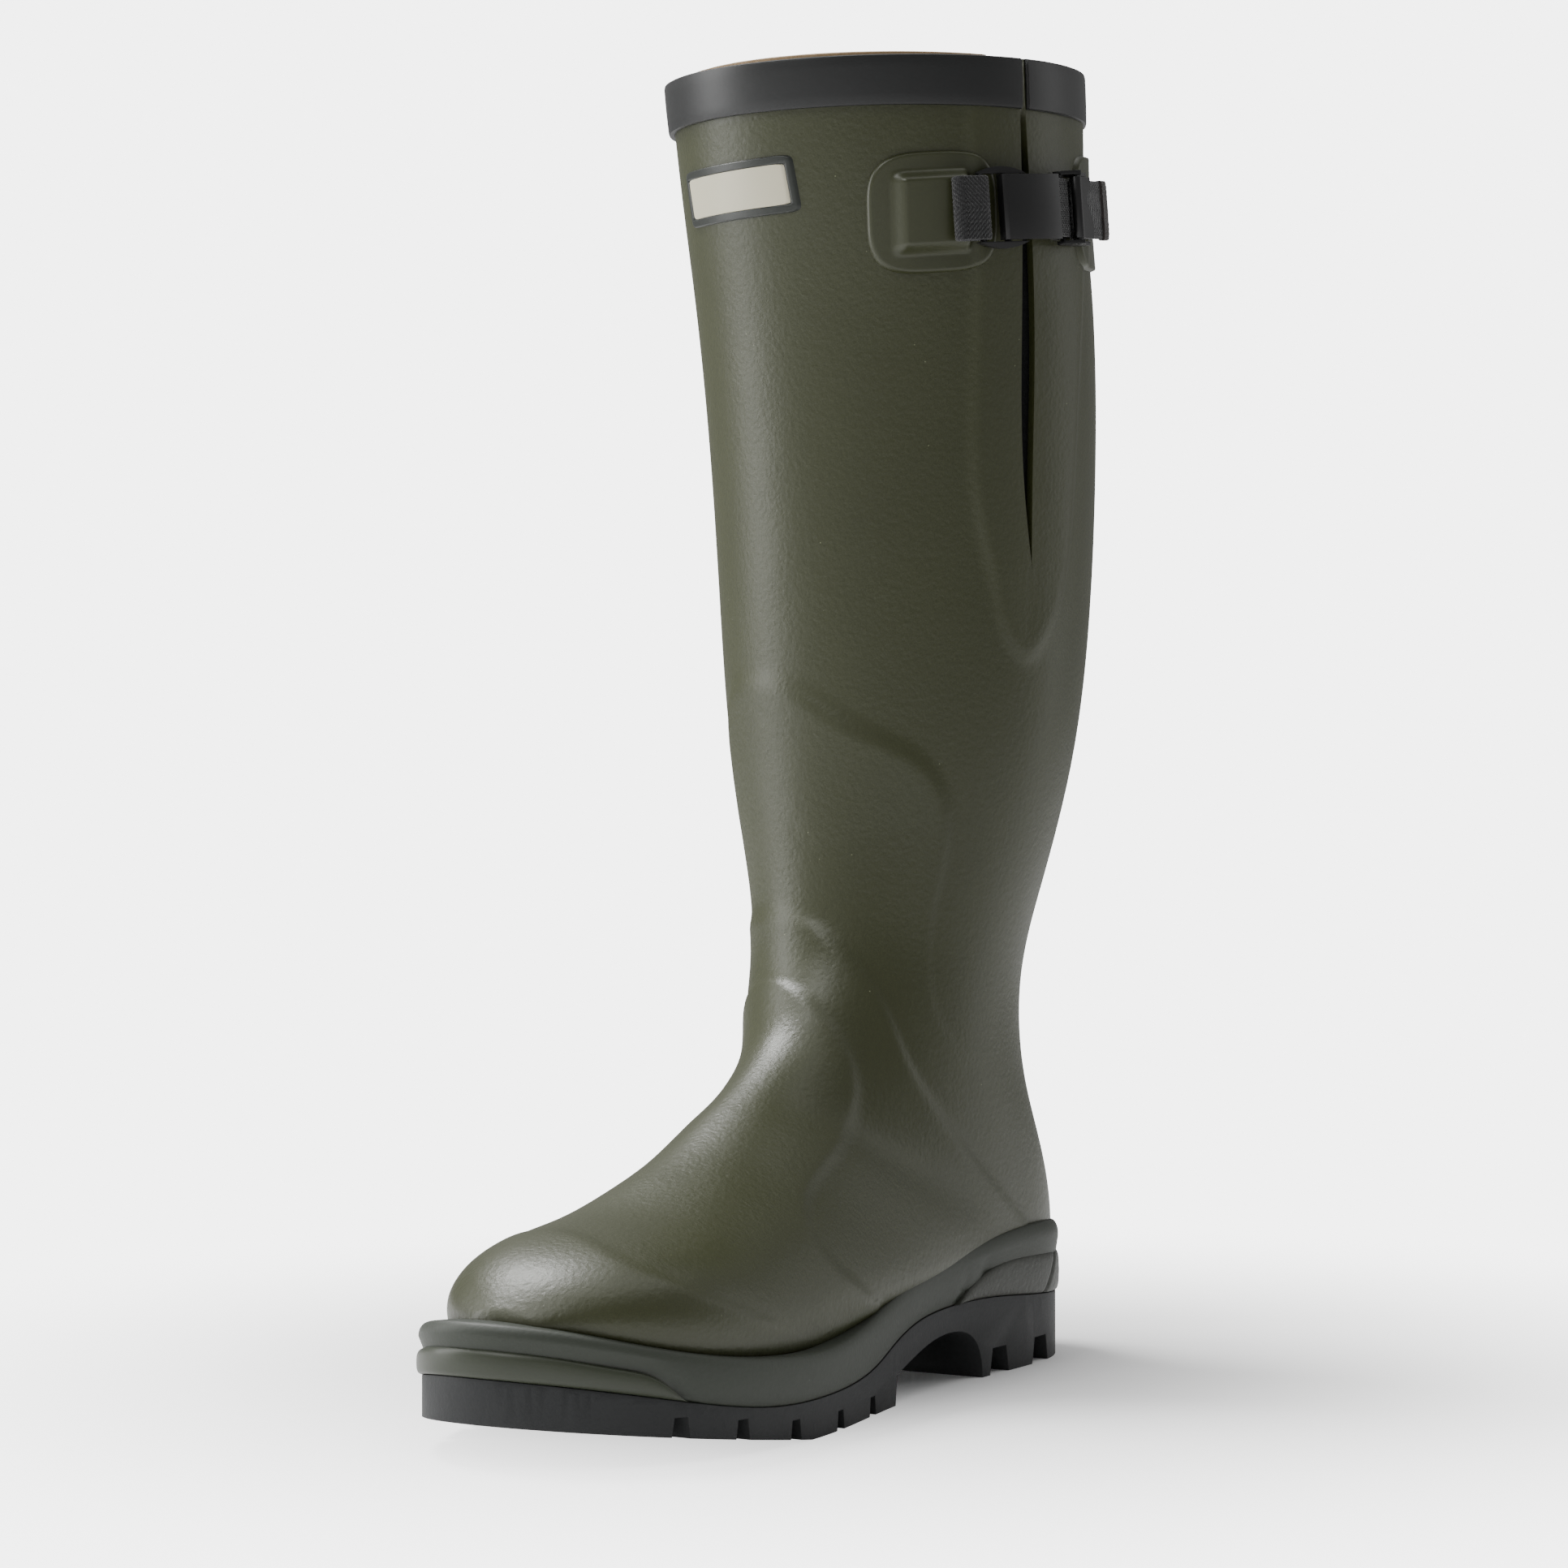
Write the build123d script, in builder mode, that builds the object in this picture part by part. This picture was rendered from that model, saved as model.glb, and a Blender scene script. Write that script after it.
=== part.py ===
from build123d import *
import math
import os
from collections import namedtuple

# Tall left field boot, standing on its sole, in millimetres.
# Toe towards -Y, outer (lateral) side towards +X, up is +Z.
# The origin lies on the ground under the heel, on the heel block's flat bottom.

os.makedirs("parts", exist_ok=True)

# ---- driving dimensions: the rubber body -------------------------------------------------

SHELL_THICKNESS = 2.5        # calendered rubber
LINING_THICKNESS = 4.4       # neoprene
FIT_GAP = 0.15               # between one layer and the next
OVERLAY_THICKNESS = 1.0      # reinforcing skins on the shell
BAND_THICKNESS = 2.0         # collar band, anchor patches and back stay
INTERNAL_STIFFENER = 1.4     # toe puff, heel stiffener and insole board
COLLAR_HEIGHT = 16.0
FACING_HEIGHT = 22.0
FACING_THICKNESS = 0.9
RIM_RISE = 14.0              # how far a layer is drawn past the rim before it is trimmed
SECTION_POINTS = 24          # points round each section
SECTION_PARAMETERS = [step / SECTION_POINTS for step in range(SECTION_POINTS + 1)]

# A section runs from a point on the front line to a point on the rear line of the boot.
# powers: 2 is an ellipse, more is squarer. widest: share of the way from front to rear.
# nose: how much of a layer's thickness is taken off forwards, at the closed toe.
Station = namedtuple(
    "Station",
    "front_y front_z rear_y rear_z lateral medial front_power rear_power widest nose",
)

STATIONS = [
    Station(-84.0, 416.5, 56.0, 424.5, 66.0, 66.0, 2.0, 2.0, 0.50, 0.0),    # rim
    Station(-76.5, 383.0, 59.0, 388.0, 65.5, 65.5, 2.0, 2.0, 0.50, 0.0),
    Station(-69.0, 350.0, 66.5, 352.0, 65.0, 65.0, 2.0, 2.0, 0.50, 0.0),
    Station(-62.0, 300.0, 72.5, 301.0, 63.0, 63.0, 2.0, 2.0, 0.50, 0.0),    # calf
    Station(-58.0, 250.0, 71.5, 250.0, 60.5, 60.5, 2.0, 2.0, 0.50, 0.0),
    Station(-55.0, 200.0, 64.5, 199.0, 55.5, 55.5, 2.0, 2.0, 0.50, 0.0),
    Station(-54.0, 162.0, 54.5, 157.0, 46.8, 46.8, 2.0, 2.0, 0.50, 0.0),
    Station(-57.0, 137.0, 45.5, 122.0, 41.0, 41.0, 2.0, 2.1, 0.50, 0.0),    # ankle
    Station(-65.0, 121.0, 49.5, 86.0, 40.0, 40.0, 2.0, 2.3, 0.52, 0.0),
    Station(-77.0, 108.0, 61.0, 52.0, 41.0, 38.5, 2.0, 2.6, 0.58, 0.0),
    Station(-92.0, 98.5, 57.0, 27.0, 41.0, 38.0, 2.0, 3.0, 0.64, 0.0),      # heel
    Station(-109.0, 89.5, 4.0, 27.0, 42.5, 38.0, 2.0, 3.2, 0.70, 0.0),
    Station(-128.0, 80.0, -44.0, 28.0, 45.0, 38.0, 2.0, 3.2, 0.74, 0.0),    # waist
    Station(-149.0, 72.0, -92.0, 23.0, 48.0, 40.0, 2.0, 3.2, 0.71, 0.0),
    Station(-170.0, 65.5, -136.0, 15.5, 49.5, 43.0, 2.1, 3.2, 0.66, 0.0),   # ball
    Station(-190.0, 62.0, -172.0, 17.0, 48.5, 42.0, 2.2, 3.0, 0.62, 0.2),
    Station(-208.0, 58.0, -200.0, 22.0, 42.0, 35.0, 2.2, 2.8, 0.60, 0.5),
    Station(-222.0, 51.0, -219.0, 29.0, 29.0, 23.0, 2.1, 2.4, 0.55, 0.8),
    Station(-231.0, 43.0, -230.0, 35.0, 13.0, 8.0, 2.0, 2.0, 0.50, 1.0),    # toe
]

# ---- driving dimensions: the sole --------------------------------------------------------

# Tread outline seen from above, from the back of the heel round the lateral side.
SOLE_OUTLINE = [
    (0, 61), (20, 58), (34, 48), (41.5, 33), (43.5, 10), (43, -19), (43.5, -52), (47, -87),
    (52.5, -120), (55.5, -148), (54, -172), (48, -196), (36, -217), (19, -232), (0, -238),
    (-19, -234), (-34, -219), (-43, -197), (-47.5, -170), (-46.5, -145), (-43, -115),
    (-40, -80), (-39.5, -50), (-40.5, -19), (-41, 10), (-39, 33), (-32, 48), (-19, 58),
]
SOLE_TOP = [                 # top of the black tread rubber along the side, as (y, z)
    (75, 19.5), (42, 21), (13, 23), (-20, 25.3), (-42, 25.2), (-64, 23.5), (-81, 19.8),
    (-98, 14.8), (-116, 12.2), (-140, 11.4), (-171, 12.2), (-203, 17.4), (-229, 23), (-250, 27),
]
RAND_TOP = [                 # top edge of the rand, as (y, z)
    (75, 42), (39, 45), (13, 45.6), (-20, 43), (-53, 39), (-75, 35), (-95, 30.3),
    (-114, 27), (-140, 25), (-171, 26.3), (-212, 33.4), (-236, 40), (-250, 43),
]
BUMPER_TOP = [(-192, 13), (-203, 18.5), (-209, 24), (-220, 28.7), (-236, 33.4), (-250, 36)]
HEEL_LIP = [(75, 34.5), (42, 35.5), (10, 36.8), (-8, 36), (-20, 33.5), (-31, 29.5), (-42, 24)]
RAND_WALL = 7.0              # rand width seen from above
BUMPER_PROUD = 1.0
PANEL_PROUD = 0.7
PANEL_WALL = 3.5
PANEL_JOINT = [(36, 39), (16, 15)]   # joint between side panel and back guard, as (y, z)

HEEL_FRONT = -20.0
HEEL_NOTCHES = [(-14.5, -2.5), (14.5, 26.5)]
HEEL_NOTCH_DEPTH = 8.5
HEEL_SPINE = 14.0            # half width left solid along the middle of the heel
FOREFOOT_NOTCHES = [-204.0, -183.0, -159.0, -131.0, -104.0]
FOREFOOT_NOTCH_WIDTH = 5.0
FOREFOOT_NOTCH_DEPTH = 5.8
FOREFOOT_SPINE = 20.0
SPINE_GROOVES = [-193.0, -171.0, -145.0, -117.5, -94.0]
SPINE_GROOVE_WIDTH = 3.4
SPINE_GROOVE_DEPTH = 4.6
ARCH = [(-62, 14.5), (-40, 17), (-27, 14)]
TREAD_START = -84.0          # rear edge of the forefoot tread
TOE_SPRING_START = -150.0
TOE_SPRING_SLOPE = 0.135

# ---- driving dimensions: slit, gusset and strap ------------------------------------------

SLIT_FRONT_EDGE = [(-14.8, 260), (-19.6, 285), (-24.6, 330), (-29.3, 375), (-33.6, 412), (-36, 440)]
SLIT_REAR_EDGE = [(-14.8, 260), (-16.2, 285), (-19.2, 330), (-25.6, 375), (-31.4, 412), (-34, 440)]
SURROUND_OUTLINE = [
    (-51, 404), (-46, 372), (-41, 341), (-33.7, 275), (-29, 250), (-22.5, 236), (-14.8, 230),
    (-6.5, 235), (0, 248), (5.5, 273), (9, 341), (13, 372), (19, 412),
]
GUSSET_DEPTH = 10.0          # how far the bellows folds inwards
GUSSET_HALF_WIDTH = 11.0
GUSSET_CLOTH = 1.2
GUSSET_MOUTH = 4.0           # half width of the fold at the shell
GUSSET_LEVELS = [            # height, middle of the slit and depth of the wall behind it
    (248.0, -13.4, 52.5), (300.0, -19.5, 54.8), (350.0, -25.3, 57.0), (408.0, -32.0, 58.4),
]

STRAP_RADIUS = 66.3          # calf radius under the strap, about the strap's own axis
STRAP_AXIS_Y = -9.5
STRAP_HEIGHT = 372.5         # height of the strap's middle at STRAP_REFERENCE degrees
STRAP_REFERENCE = -18.0
STRAP_TILT = 5.5             # the strap climbs to the rear
WEBBING_WIDTH = 20.0
COARSE_WIDTH = 18.6
WEBBING_THICKNESS = 1.1

RING_ANGLE = -29.0
RING_STAND_OFF = 4.5
RING_FRONT_BAR = -7.3
RING_REAR_BAR = 1.9
RING_BAR_RADIUS = 1.1
RAIL_INNER = 10.6
RAIL_OUTER = 12.8
RAIL_HALF_LENGTH = 9.5
RAIL_THICKNESS = 2.2
HOOK_ANGLE = -21.0
HOOK_PLATE_BOTTOM = 6.3
HOOK_PLATE_THICKNESS = 1.2
HOOK_FRONT = -11.0
HOOK_REAR = 12.2
HOOK_BAR = (13.6, 2.6)
HOOK_BAR_RADIUS = 0.9
PLATE_HALF = 10.2
CLAW_BOTTOM = 3.9
CHEEK_INNER = COARSE_WIDTH / 2 + 0.3
ADJUSTER_ANGLE = 0.0
FRAME_BAR = (-6.5, 3.0)
FRAME_REAR_BAR = (6.0, 1.5)
FRAME_BAR_RADIUS = 1.0
FRAME_INNER = 10.4
FRAME_WALL = 1.2
PIN_CENTRE = (-3.6, 7.4)
PIN_RADIUS = 0.8
KNUCKLE_RADIUS = 1.7
LEVER_THICKNESS = 1.2
LEVER_HALF = 9.8
TAIL_BOTTOM = 4.2
TAIL_REAR = 21.0
TAIL_FRONT = -2.6
HEM_LENGTH = 3.2
HEM_WRAP = 0.9


# ---- driving dimensions: reinforcing skins, patches and badge ------------------------------

TOE_CAP_LINE = [             # rear edge of the toe cap seen from above, as (x, y)
    (-70, -150), (-47, -165), (-33, -183), (-15, -193), (8, -198), (27, -202), (42, -194),
    (50, -172), (70, -140),
]
# Edges of the other skins in side view, as (y, z).
INSTEP_UPPER = [(-75, 158), (-52, 146), (-50, 120), (-46, 100), (-38, 87), (-20, 69), (10, 48)]
INSTEP_LOWER = [
    (-90, 140), (-66, 121), (-67, 100), (-78, 84), (-103, 71), (-120, 62), (-124, 52), (-114, 40),
]
SHIN_EDGE = [(-70, 226), (-54, 222), (-42, 197), (-36, 175), (-36, 150), (-33, 115)]
ANKLE_EDGE = [(-37.5, 88), (-33, 92.5), (2.5, 94), (30, 92), (70, 88)]
BACK_STAY = (14.0, 122.0, 5.0)         # width, height and corner radius
BACK_STAY_MIDDLE = 107.0
SPUR_HEIGHT = 76.0
SPUR_THICKNESS = 4.5
SPUR_RADII = (15.0, 10.0)
SPUR_Y = 51.0

FRONT_PATCH_ANGLE = -46.0
FRONT_PATCH = (42.0, 37.0, 6.0)        # width, height and corner radius
REAR_PATCH_ANGLE = 24.0
REAR_PATCH = (38.0, 37.0, 6.0)
PILLOW_ANGLE = -48.5
PILLOW = (23.0, 25.0, 5.0)
PILLOW_RISE = 5.6            # height of the pillow's top over the strap's circle
PILLOW_TAPER = 8.0
BADGE_ANGLE = -108.0
BADGE_RISE = 12.5            # the badge sits higher than the strap's own slope puts it
BADGE_PLATE = (49.0, 14.0, 0.8)
BADGE_FRAME = (53.0, 18.0, 1.6)

# ---- driving dimensions: inside the boot ---------------------------------------------------

FOOTBED_TOP = [
    (75, 40), (30, 38.5), (0, 38), (-44, 38.5), (-92, 33.5), (-136, 27), (-172, 28), (-205, 34), (-250, 44),
]
SHANK_CURVE = [(6, 24.0), (-12, 25.2), (-36, 25.6), (-60, 24.3)]
SHANK_THICKNESS = 1.0
SHANK_HALF_WIDTH = 7.0
HEEL_CORE_FRONT = 22.0
STIFFENER_TOP = 86.0
PUFF_REAR = -186.0
BOARD_SETBACK = 12.0         # the insole board stops this far inside the sole's outline
POCKET_PLAY = 2.0            # how far the lining's pockets reach past what they hold
WINDOW_OUTLINE = [           # the lining is left out behind the slit, as (y, z)
    (-29, 243), (-1, 243), (-6, 300), (-14, 350), (-20, 445), (-48, 445), (-38, 350), (-32, 300),
]

# ---- helpers ------------------------------------------------------------------------------

def section_plane(station):
    """Plane of one section: local x is lateral, local y runs from the front to the rear line."""
    run_y = station.rear_y - station.front_y
    run_z = station.rear_z - station.front_z
    length = math.hypot(run_y, run_z)
    origin = (0, station.front_y + station.widest * run_y, station.front_z + station.widest * run_z)
    return Plane(origin=origin, x_dir=(1, 0, 0), z_dir=(0, -run_z / length, run_y / length)), length


def section_points(station, inset):
    """Points of one section, drawn in by inset, as a squared ellipse with unlike halves."""
    plane, length = section_plane(station)
    shrink = inset * max(math.sqrt(1 - station.nose**2), 0.25)
    points = []
    for step in range(SECTION_POINTS):
        angle = 2 * math.pi * step / SECTION_POINTS
        across = math.sin(angle)
        along = math.cos(angle)
        rearward = along > 0
        power = station.rear_power if rearward else station.front_power
        reach = length * (1 - station.widest if rearward else station.widest) - shrink
        width = (station.lateral if across > 0 else station.medial) - shrink
        radius = (abs(across) ** power + abs(along) ** power) ** (-1 / power)
        points.append((across * radius * width, along * radius * reach))
    return points


def drawn_back(station, inset):
    """The section moved rearwards at the closed toe, so that a layer keeps its thickness there."""
    shift = inset * station.nose
    return station._replace(front_y=station.front_y + shift, rear_y=station.rear_y + shift)


def boot_form(inset):
    """Solid of the whole boot's shape, inset from the shell's outer face, open past the rim."""
    rim = STATIONS[0]
    above = rim._replace(
        front_y=rim.front_y - 3, front_z=rim.front_z + RIM_RISE,
        rear_y=rim.rear_y - 1, rear_z=rim.rear_z + RIM_RISE,
    )
    with BuildPart() as form:
        for station in [above] + STATIONS:
            moved = drawn_back(station, inset)
            plane, length = section_plane(moved)
            with BuildSketch(plane):
                with BuildLine():
                    points = [Vector(x, y, 0) for x, y in section_points(moved, inset)]
                    add(Edge.make_spline(points, periodic=True, parameters=SECTION_PARAMETERS))
                make_face()
        loft()
    return form.part


def side_block(lower, upper, x_from, x_to):
    """Block between two side-view curves, each a list of (y, z), from x_from to x_to."""
    with BuildPart() as block:
        with BuildSketch(Plane.YZ.offset(x_from)):
            with BuildLine():
                Spline(*lower) if len(lower) > 2 else Line(*lower)
                Line(lower[-1], upper[-1])
                Spline(*upper) if len(upper) > 2 else Line(*upper)
                Line(upper[0], lower[0])
            make_face()
        extrude(amount=x_to - x_from)
    return block.part


def rim_line(drop):
    """The rim's line in side view, lowered by drop, long enough to cross the whole boot."""
    rim = STATIONS[0]
    slope = (rim.rear_z - rim.front_z) / (rim.rear_y - rim.front_y)
    return [(y, rim.front_z + slope * (y - rim.front_y) - drop) for y in (-260, 100)]


def rim_block(top_drop, bottom_drop):
    """Block between two lowered copies of the rim's line."""
    return side_block(rim_line(bottom_drop), rim_line(top_drop), -90, 90)


def below_rim(drop):
    """Block of everything lower than the rim's line lowered by drop."""
    return side_block([(-260, -20), (100, -20)], rim_line(drop), -90, 90)


def outline_points(grow):
    """The sole's outline, grown outwards by grow."""
    count = len(SOLE_OUTLINE)
    points = []
    for index, (x, y) in enumerate(SOLE_OUTLINE):
        before = SOLE_OUTLINE[index - 1]
        after = SOLE_OUTLINE[(index + 1) % count]
        run_x = after[0] - before[0]
        run_y = after[1] - before[1]
        length = math.hypot(run_x, run_y)
        points.append((x - grow * run_y / length, y + grow * run_x / length))
    return points


def sole_column(grow):
    """Upright column on the sole's outline, grown by grow."""
    with BuildPart() as column:
        with BuildSketch(Plane.XY.offset(-5)):
            with BuildLine():
                Spline(*outline_points(grow), periodic=True)
            make_face()
        extrude(amount=70)
    return column.part


def sole_ring(outer_grow, wall, lower, upper):
    """Ring round the sole, wall wide, between two side-view curves."""
    with BuildPart() as ring:
        add(sole_column(outer_grow))
        add(sole_column(outer_grow - wall), mode=Mode.SUBTRACT)
        add(side_block(lower, upper, -70, 70), mode=Mode.INTERSECT)
    return ring.part


def strap_plane(angle, stand_off=0.0):
    """Plane facing out of the calf at an angle from +X: local x rearwards, local y upwards.

    The strap's circle is tilted as a whole about its outward line at STRAP_REFERENCE.
    """
    hub = Location((0, STRAP_AXIS_Y, STRAP_HEIGHT), (0, 0, STRAP_REFERENCE))
    tilt = Location((0, 0, 0), (STRAP_TILT, 0, 0))
    turn = Location((0, 0, 0), (0, 0, angle - STRAP_REFERENCE))
    turned = Plane(hub * tilt * turn)
    origin = turned.origin + turned.x_dir * (STRAP_RADIUS + stand_off)
    return Plane(origin=origin, x_dir=turned.y_dir, z_dir=turned.x_dir)


def strap_side_plane(angle, half_width):
    """Plane square to the strap's width: local x rearwards, local y outwards."""
    face = strap_plane(angle)
    return Plane(origin=face.origin + face.y_dir * half_width, x_dir=face.x_dir, z_dir=-face.y_dir)


def wrapped_patch(angle, width, height, corner, thick_form, height_shift=0.0):
    """Skin of thick_form inside a rounded rectangle seen along the outward direction at angle."""
    face = strap_plane(angle)
    centre = face.origin + face.y_dir * height_shift
    with BuildPart() as patch:
        with BuildSketch(Plane(origin=centre, x_dir=face.x_dir, z_dir=face.z_dir).offset(-24)):
            RectangleRounded(width, height, corner)
        extrude(amount=40)
        add(thick_form, mode=Mode.INTERSECT)
        add(form_skin, mode=Mode.SUBTRACT)
    return patch.part


def finish(piece, label):
    """Label a finished piece and write its STEP file."""
    piece.part.label = label
    export_step(piece.part, "parts/" + label + ".step")


# ---- forms shared by the layers -----------------------------------------------------------

form_outer = boot_form(0.0)
form_skin = boot_form(-FIT_GAP)
form_overlay = boot_form(-OVERLAY_THICKNESS)
form_band = boot_form(-BAND_THICKNESS)
form_shell_inner = boot_form(SHELL_THICKNESS)
lining_outer = SHELL_THICKNESS + FIT_GAP
form_lining_outer = boot_form(lining_outer)
form_stiffener = boot_form(lining_outer + INTERNAL_STIFFENER)
form_behind_stiffener = boot_form(lining_outer + INTERNAL_STIFFENER + FIT_GAP)
lining_inner = lining_outer + LINING_THICKNESS
form_lining_inner = boot_form(lining_inner)
form_footbed = boot_form(lining_inner + FIT_GAP)
form_facing = boot_form(lining_inner + FIT_GAP + FACING_THICKNESS)

with BuildPart() as slit_block:
    with BuildSketch(Plane.YZ.offset(25)):
        with BuildLine():
            Spline(*SLIT_FRONT_EDGE)
            Line(SLIT_FRONT_EDGE[-1], SLIT_REAR_EDGE[-1])
            Spline(*SLIT_REAR_EDGE)
        make_face()
    extrude(amount=65)

# Leg and foot shell.
with BuildPart() as upper_shell:
    add(form_outer)
    add(form_shell_inner, mode=Mode.SUBTRACT)
    add(below_rim(0.0), mode=Mode.INTERSECT)
    add(slit_block.part, mode=Mode.SUBTRACT)
finish(upper_shell, "upper_shell")

# ---- reinforcing skins on the shell -------------------------------------------------------

below_rand = side_block([(75, -10), (-250, -10)], [(y, z + 0.2) for y, z in RAND_TOP], -70, 70)

# Toe cap: everything ahead of a line that crosses the toe and sweeps back at the sides.
with BuildPart() as toe_cap:
    with BuildSketch(Plane.XY):
        with BuildLine():
            Spline(*TOE_CAP_LINE)
            Polyline(TOE_CAP_LINE[-1], (70, -260), (-70, -260), TOE_CAP_LINE[0])
        make_face()
    extrude(amount=90)
    add(form_overlay, mode=Mode.INTERSECT)
    add(form_skin, mode=Mode.SUBTRACT)
    add(below_rand, mode=Mode.SUBTRACT)
finish(toe_cap, "toe_cap")

# Instep overlay: a strap-shaped skin over the front of the ankle and down both sides to the waist.
with BuildPart() as instep_overlay:
    with BuildSketch(Plane.YZ.offset(-60)):
        with BuildLine():
            Spline(*INSTEP_UPPER)
            Line(INSTEP_UPPER[-1], INSTEP_LOWER[-1])
            Spline(*INSTEP_LOWER)
            Line(INSTEP_LOWER[0], INSTEP_UPPER[0])
        make_face()
    extrude(amount=120)
    add(form_overlay, mode=Mode.INTERSECT)
    add(form_skin, mode=Mode.SUBTRACT)
    add(below_rand, mode=Mode.SUBTRACT)
finish(instep_overlay, "instep_overlay")

# Shin overlay: rises round the front of the shin and runs down behind the ankle bone.
with BuildPart() as shin_overlay:
    with BuildSketch(Plane.YZ.offset(-70)):
        with BuildLine():
            Spline(*SHIN_EDGE)
            Polyline(SHIN_EDGE[-1], (-47, 112), (-50, 122), (-51.5, 148), (-75, 160), SHIN_EDGE[0])
        make_face()
    extrude(amount=140)
    add(form_overlay, mode=Mode.INTERSECT)
    add(form_skin, mode=Mode.SUBTRACT)
    add(instep_overlay.part, mode=Mode.SUBTRACT)
finish(shin_overlay, "shin_overlay")

# Ankle overlay: the skin round the heel, behind the instep overlay and under the ankle line.
with BuildPart() as ankle_overlay:
    with BuildSketch(Plane.YZ.offset(-60)):
        with BuildLine():
            Spline(*ANKLE_EDGE)
            Polyline(ANKLE_EDGE[-1], (75, 30), (10.4, 30), (10.4, 48.5), (-19.6, 69.4), ANKLE_EDGE[0])
        make_face()
    extrude(amount=120)
    add(form_overlay, mode=Mode.INTERSECT)
    add(form_skin, mode=Mode.SUBTRACT)
    add(below_rand, mode=Mode.SUBTRACT)
    with BuildSketch(Plane.XZ.offset(-100)):
        with Locations((0, 70)):
            Rectangle(15, 80)
    extrude(amount=70, mode=Mode.SUBTRACT)
finish(ankle_overlay, "ankle_overlay")

# Back stay: a heavier strip up the heel and the lower calf.
with BuildPart() as back_stay:
    with BuildSketch(Plane.XZ.offset(-100)):
        with Locations((0, BACK_STAY_MIDDLE)):
            RectangleRounded(*BACK_STAY)
    extrude(amount=80)
    add(form_band, mode=Mode.INTERSECT)
    add(form_skin, mode=Mode.SUBTRACT)
finish(back_stay, "back_stay")

# Kick spur: the ledge on the back of the heel that a boot jack catches.
with BuildPart() as kick_spur:
    with BuildSketch(Plane.XY.offset(SPUR_HEIGHT - 4)):
        with Locations((0, SPUR_Y)):
            Ellipse(*SPUR_RADII)
    extrude(amount=SPUR_THICKNESS)
    add(form_overlay, mode=Mode.SUBTRACT)
    add(back_stay.part, mode=Mode.SUBTRACT)
finish(kick_spur, "kick_spur")

# ---- rim, gusset and slit -----------------------------------------------------------------

with BuildPart() as collar_band:
    add(form_band)
    add(form_skin, mode=Mode.SUBTRACT)
    add(rim_block(0.0, COLLAR_HEIGHT), mode=Mode.INTERSECT)
    add(slit_block.part, mode=Mode.SUBTRACT)
finish(collar_band, "collar_band")

with BuildPart() as gusset_surround:
    with BuildSketch(Plane.YZ.offset(25)):
        with BuildLine():
            Spline(*SURROUND_OUTLINE)
            Line(SURROUND_OUTLINE[-1], SURROUND_OUTLINE[0])
        make_face()
    extrude(amount=60)
    add(form_overlay, mode=Mode.INTERSECT)
    add(form_skin, mode=Mode.SUBTRACT)
    add(below_rim(COLLAR_HEIGHT + 0.2), mode=Mode.INTERSECT)
    add(slit_block.part, mode=Mode.SUBTRACT)
finish(gusset_surround, "gusset_surround")


# Gusset bellows: a web folded inwards in a V behind the slit, held by two flanges.
with BuildPart() as gusset_bellows:
    lowest = GUSSET_LEVELS[0][0]
    highest = GUSSET_LEVELS[-1][0]
    for height, middle, outer in GUSSET_LEVELS:
        opened = 0.25 + 0.75 * (height - lowest) / (highest - lowest)
        fold = outer - GUSSET_DEPTH * opened
        inner = outer - GUSSET_CLOTH
        with BuildSketch(Plane.XY.offset(height)):
            with BuildLine():
                Polyline(
                    (outer, middle - GUSSET_HALF_WIDTH), (outer, middle - GUSSET_MOUTH),
                    (fold, middle), (outer, middle + GUSSET_MOUTH), (outer, middle + GUSSET_HALF_WIDTH),
                    (inner, middle + GUSSET_HALF_WIDTH), (inner, middle + GUSSET_MOUTH + 1),
                    (fold - 2 * GUSSET_CLOTH, middle), (inner, middle - GUSSET_MOUTH - 1),
                    (inner, middle - GUSSET_HALF_WIDTH), close=True,
                )
            make_face()
    loft(ruled=True)
    add(form_shell_inner, mode=Mode.INTERSECT)
finish(gusset_bellows, "gusset_bellows")

# ---- inside the boot ----------------------------------------------------------------------

with BuildPart() as gusset_window:
    with BuildSketch(Plane.YZ.offset(25)):
        with BuildLine():
            Polyline(*WINDOW_OUTLINE, close=True)
        make_face()
    extrude(amount=60)

with BuildPart() as toe_puff:
    add(form_lining_outer)
    add(form_stiffener, mode=Mode.SUBTRACT)
    toe_end = side_block([(-262, 35), (PUFF_REAR, 35)], [(-262, 100), (PUFF_REAR, 100)], -70, 70)
    add(toe_end, mode=Mode.INTERSECT)
finish(toe_puff, "toe_puff")

with BuildPart() as heel_stiffener:
    add(form_lining_outer)
    add(form_stiffener, mode=Mode.SUBTRACT)
    heel_end = side_block([(10, 34), (90, 34)], [(10, STIFFENER_TOP), (90, STIFFENER_TOP)], -70, 70)
    add(heel_end, mode=Mode.INTERSECT)
finish(heel_stiffener, "heel_stiffener")

with BuildPart() as insole_board:
    add(form_lining_outer)
    add(form_stiffener, mode=Mode.SUBTRACT)
    add(sole_column(-BOARD_SETBACK), mode=Mode.INTERSECT)
    add(side_block([(-215, -5), (80, -5)], [(-215, 33), (80, 33)], -60, 60), mode=Mode.INTERSECT)
finish(insole_board, "insole_board")

with BuildPart() as pocket:
    add(form_lining_outer)
    add(form_behind_stiffener, mode=Mode.SUBTRACT)

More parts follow.
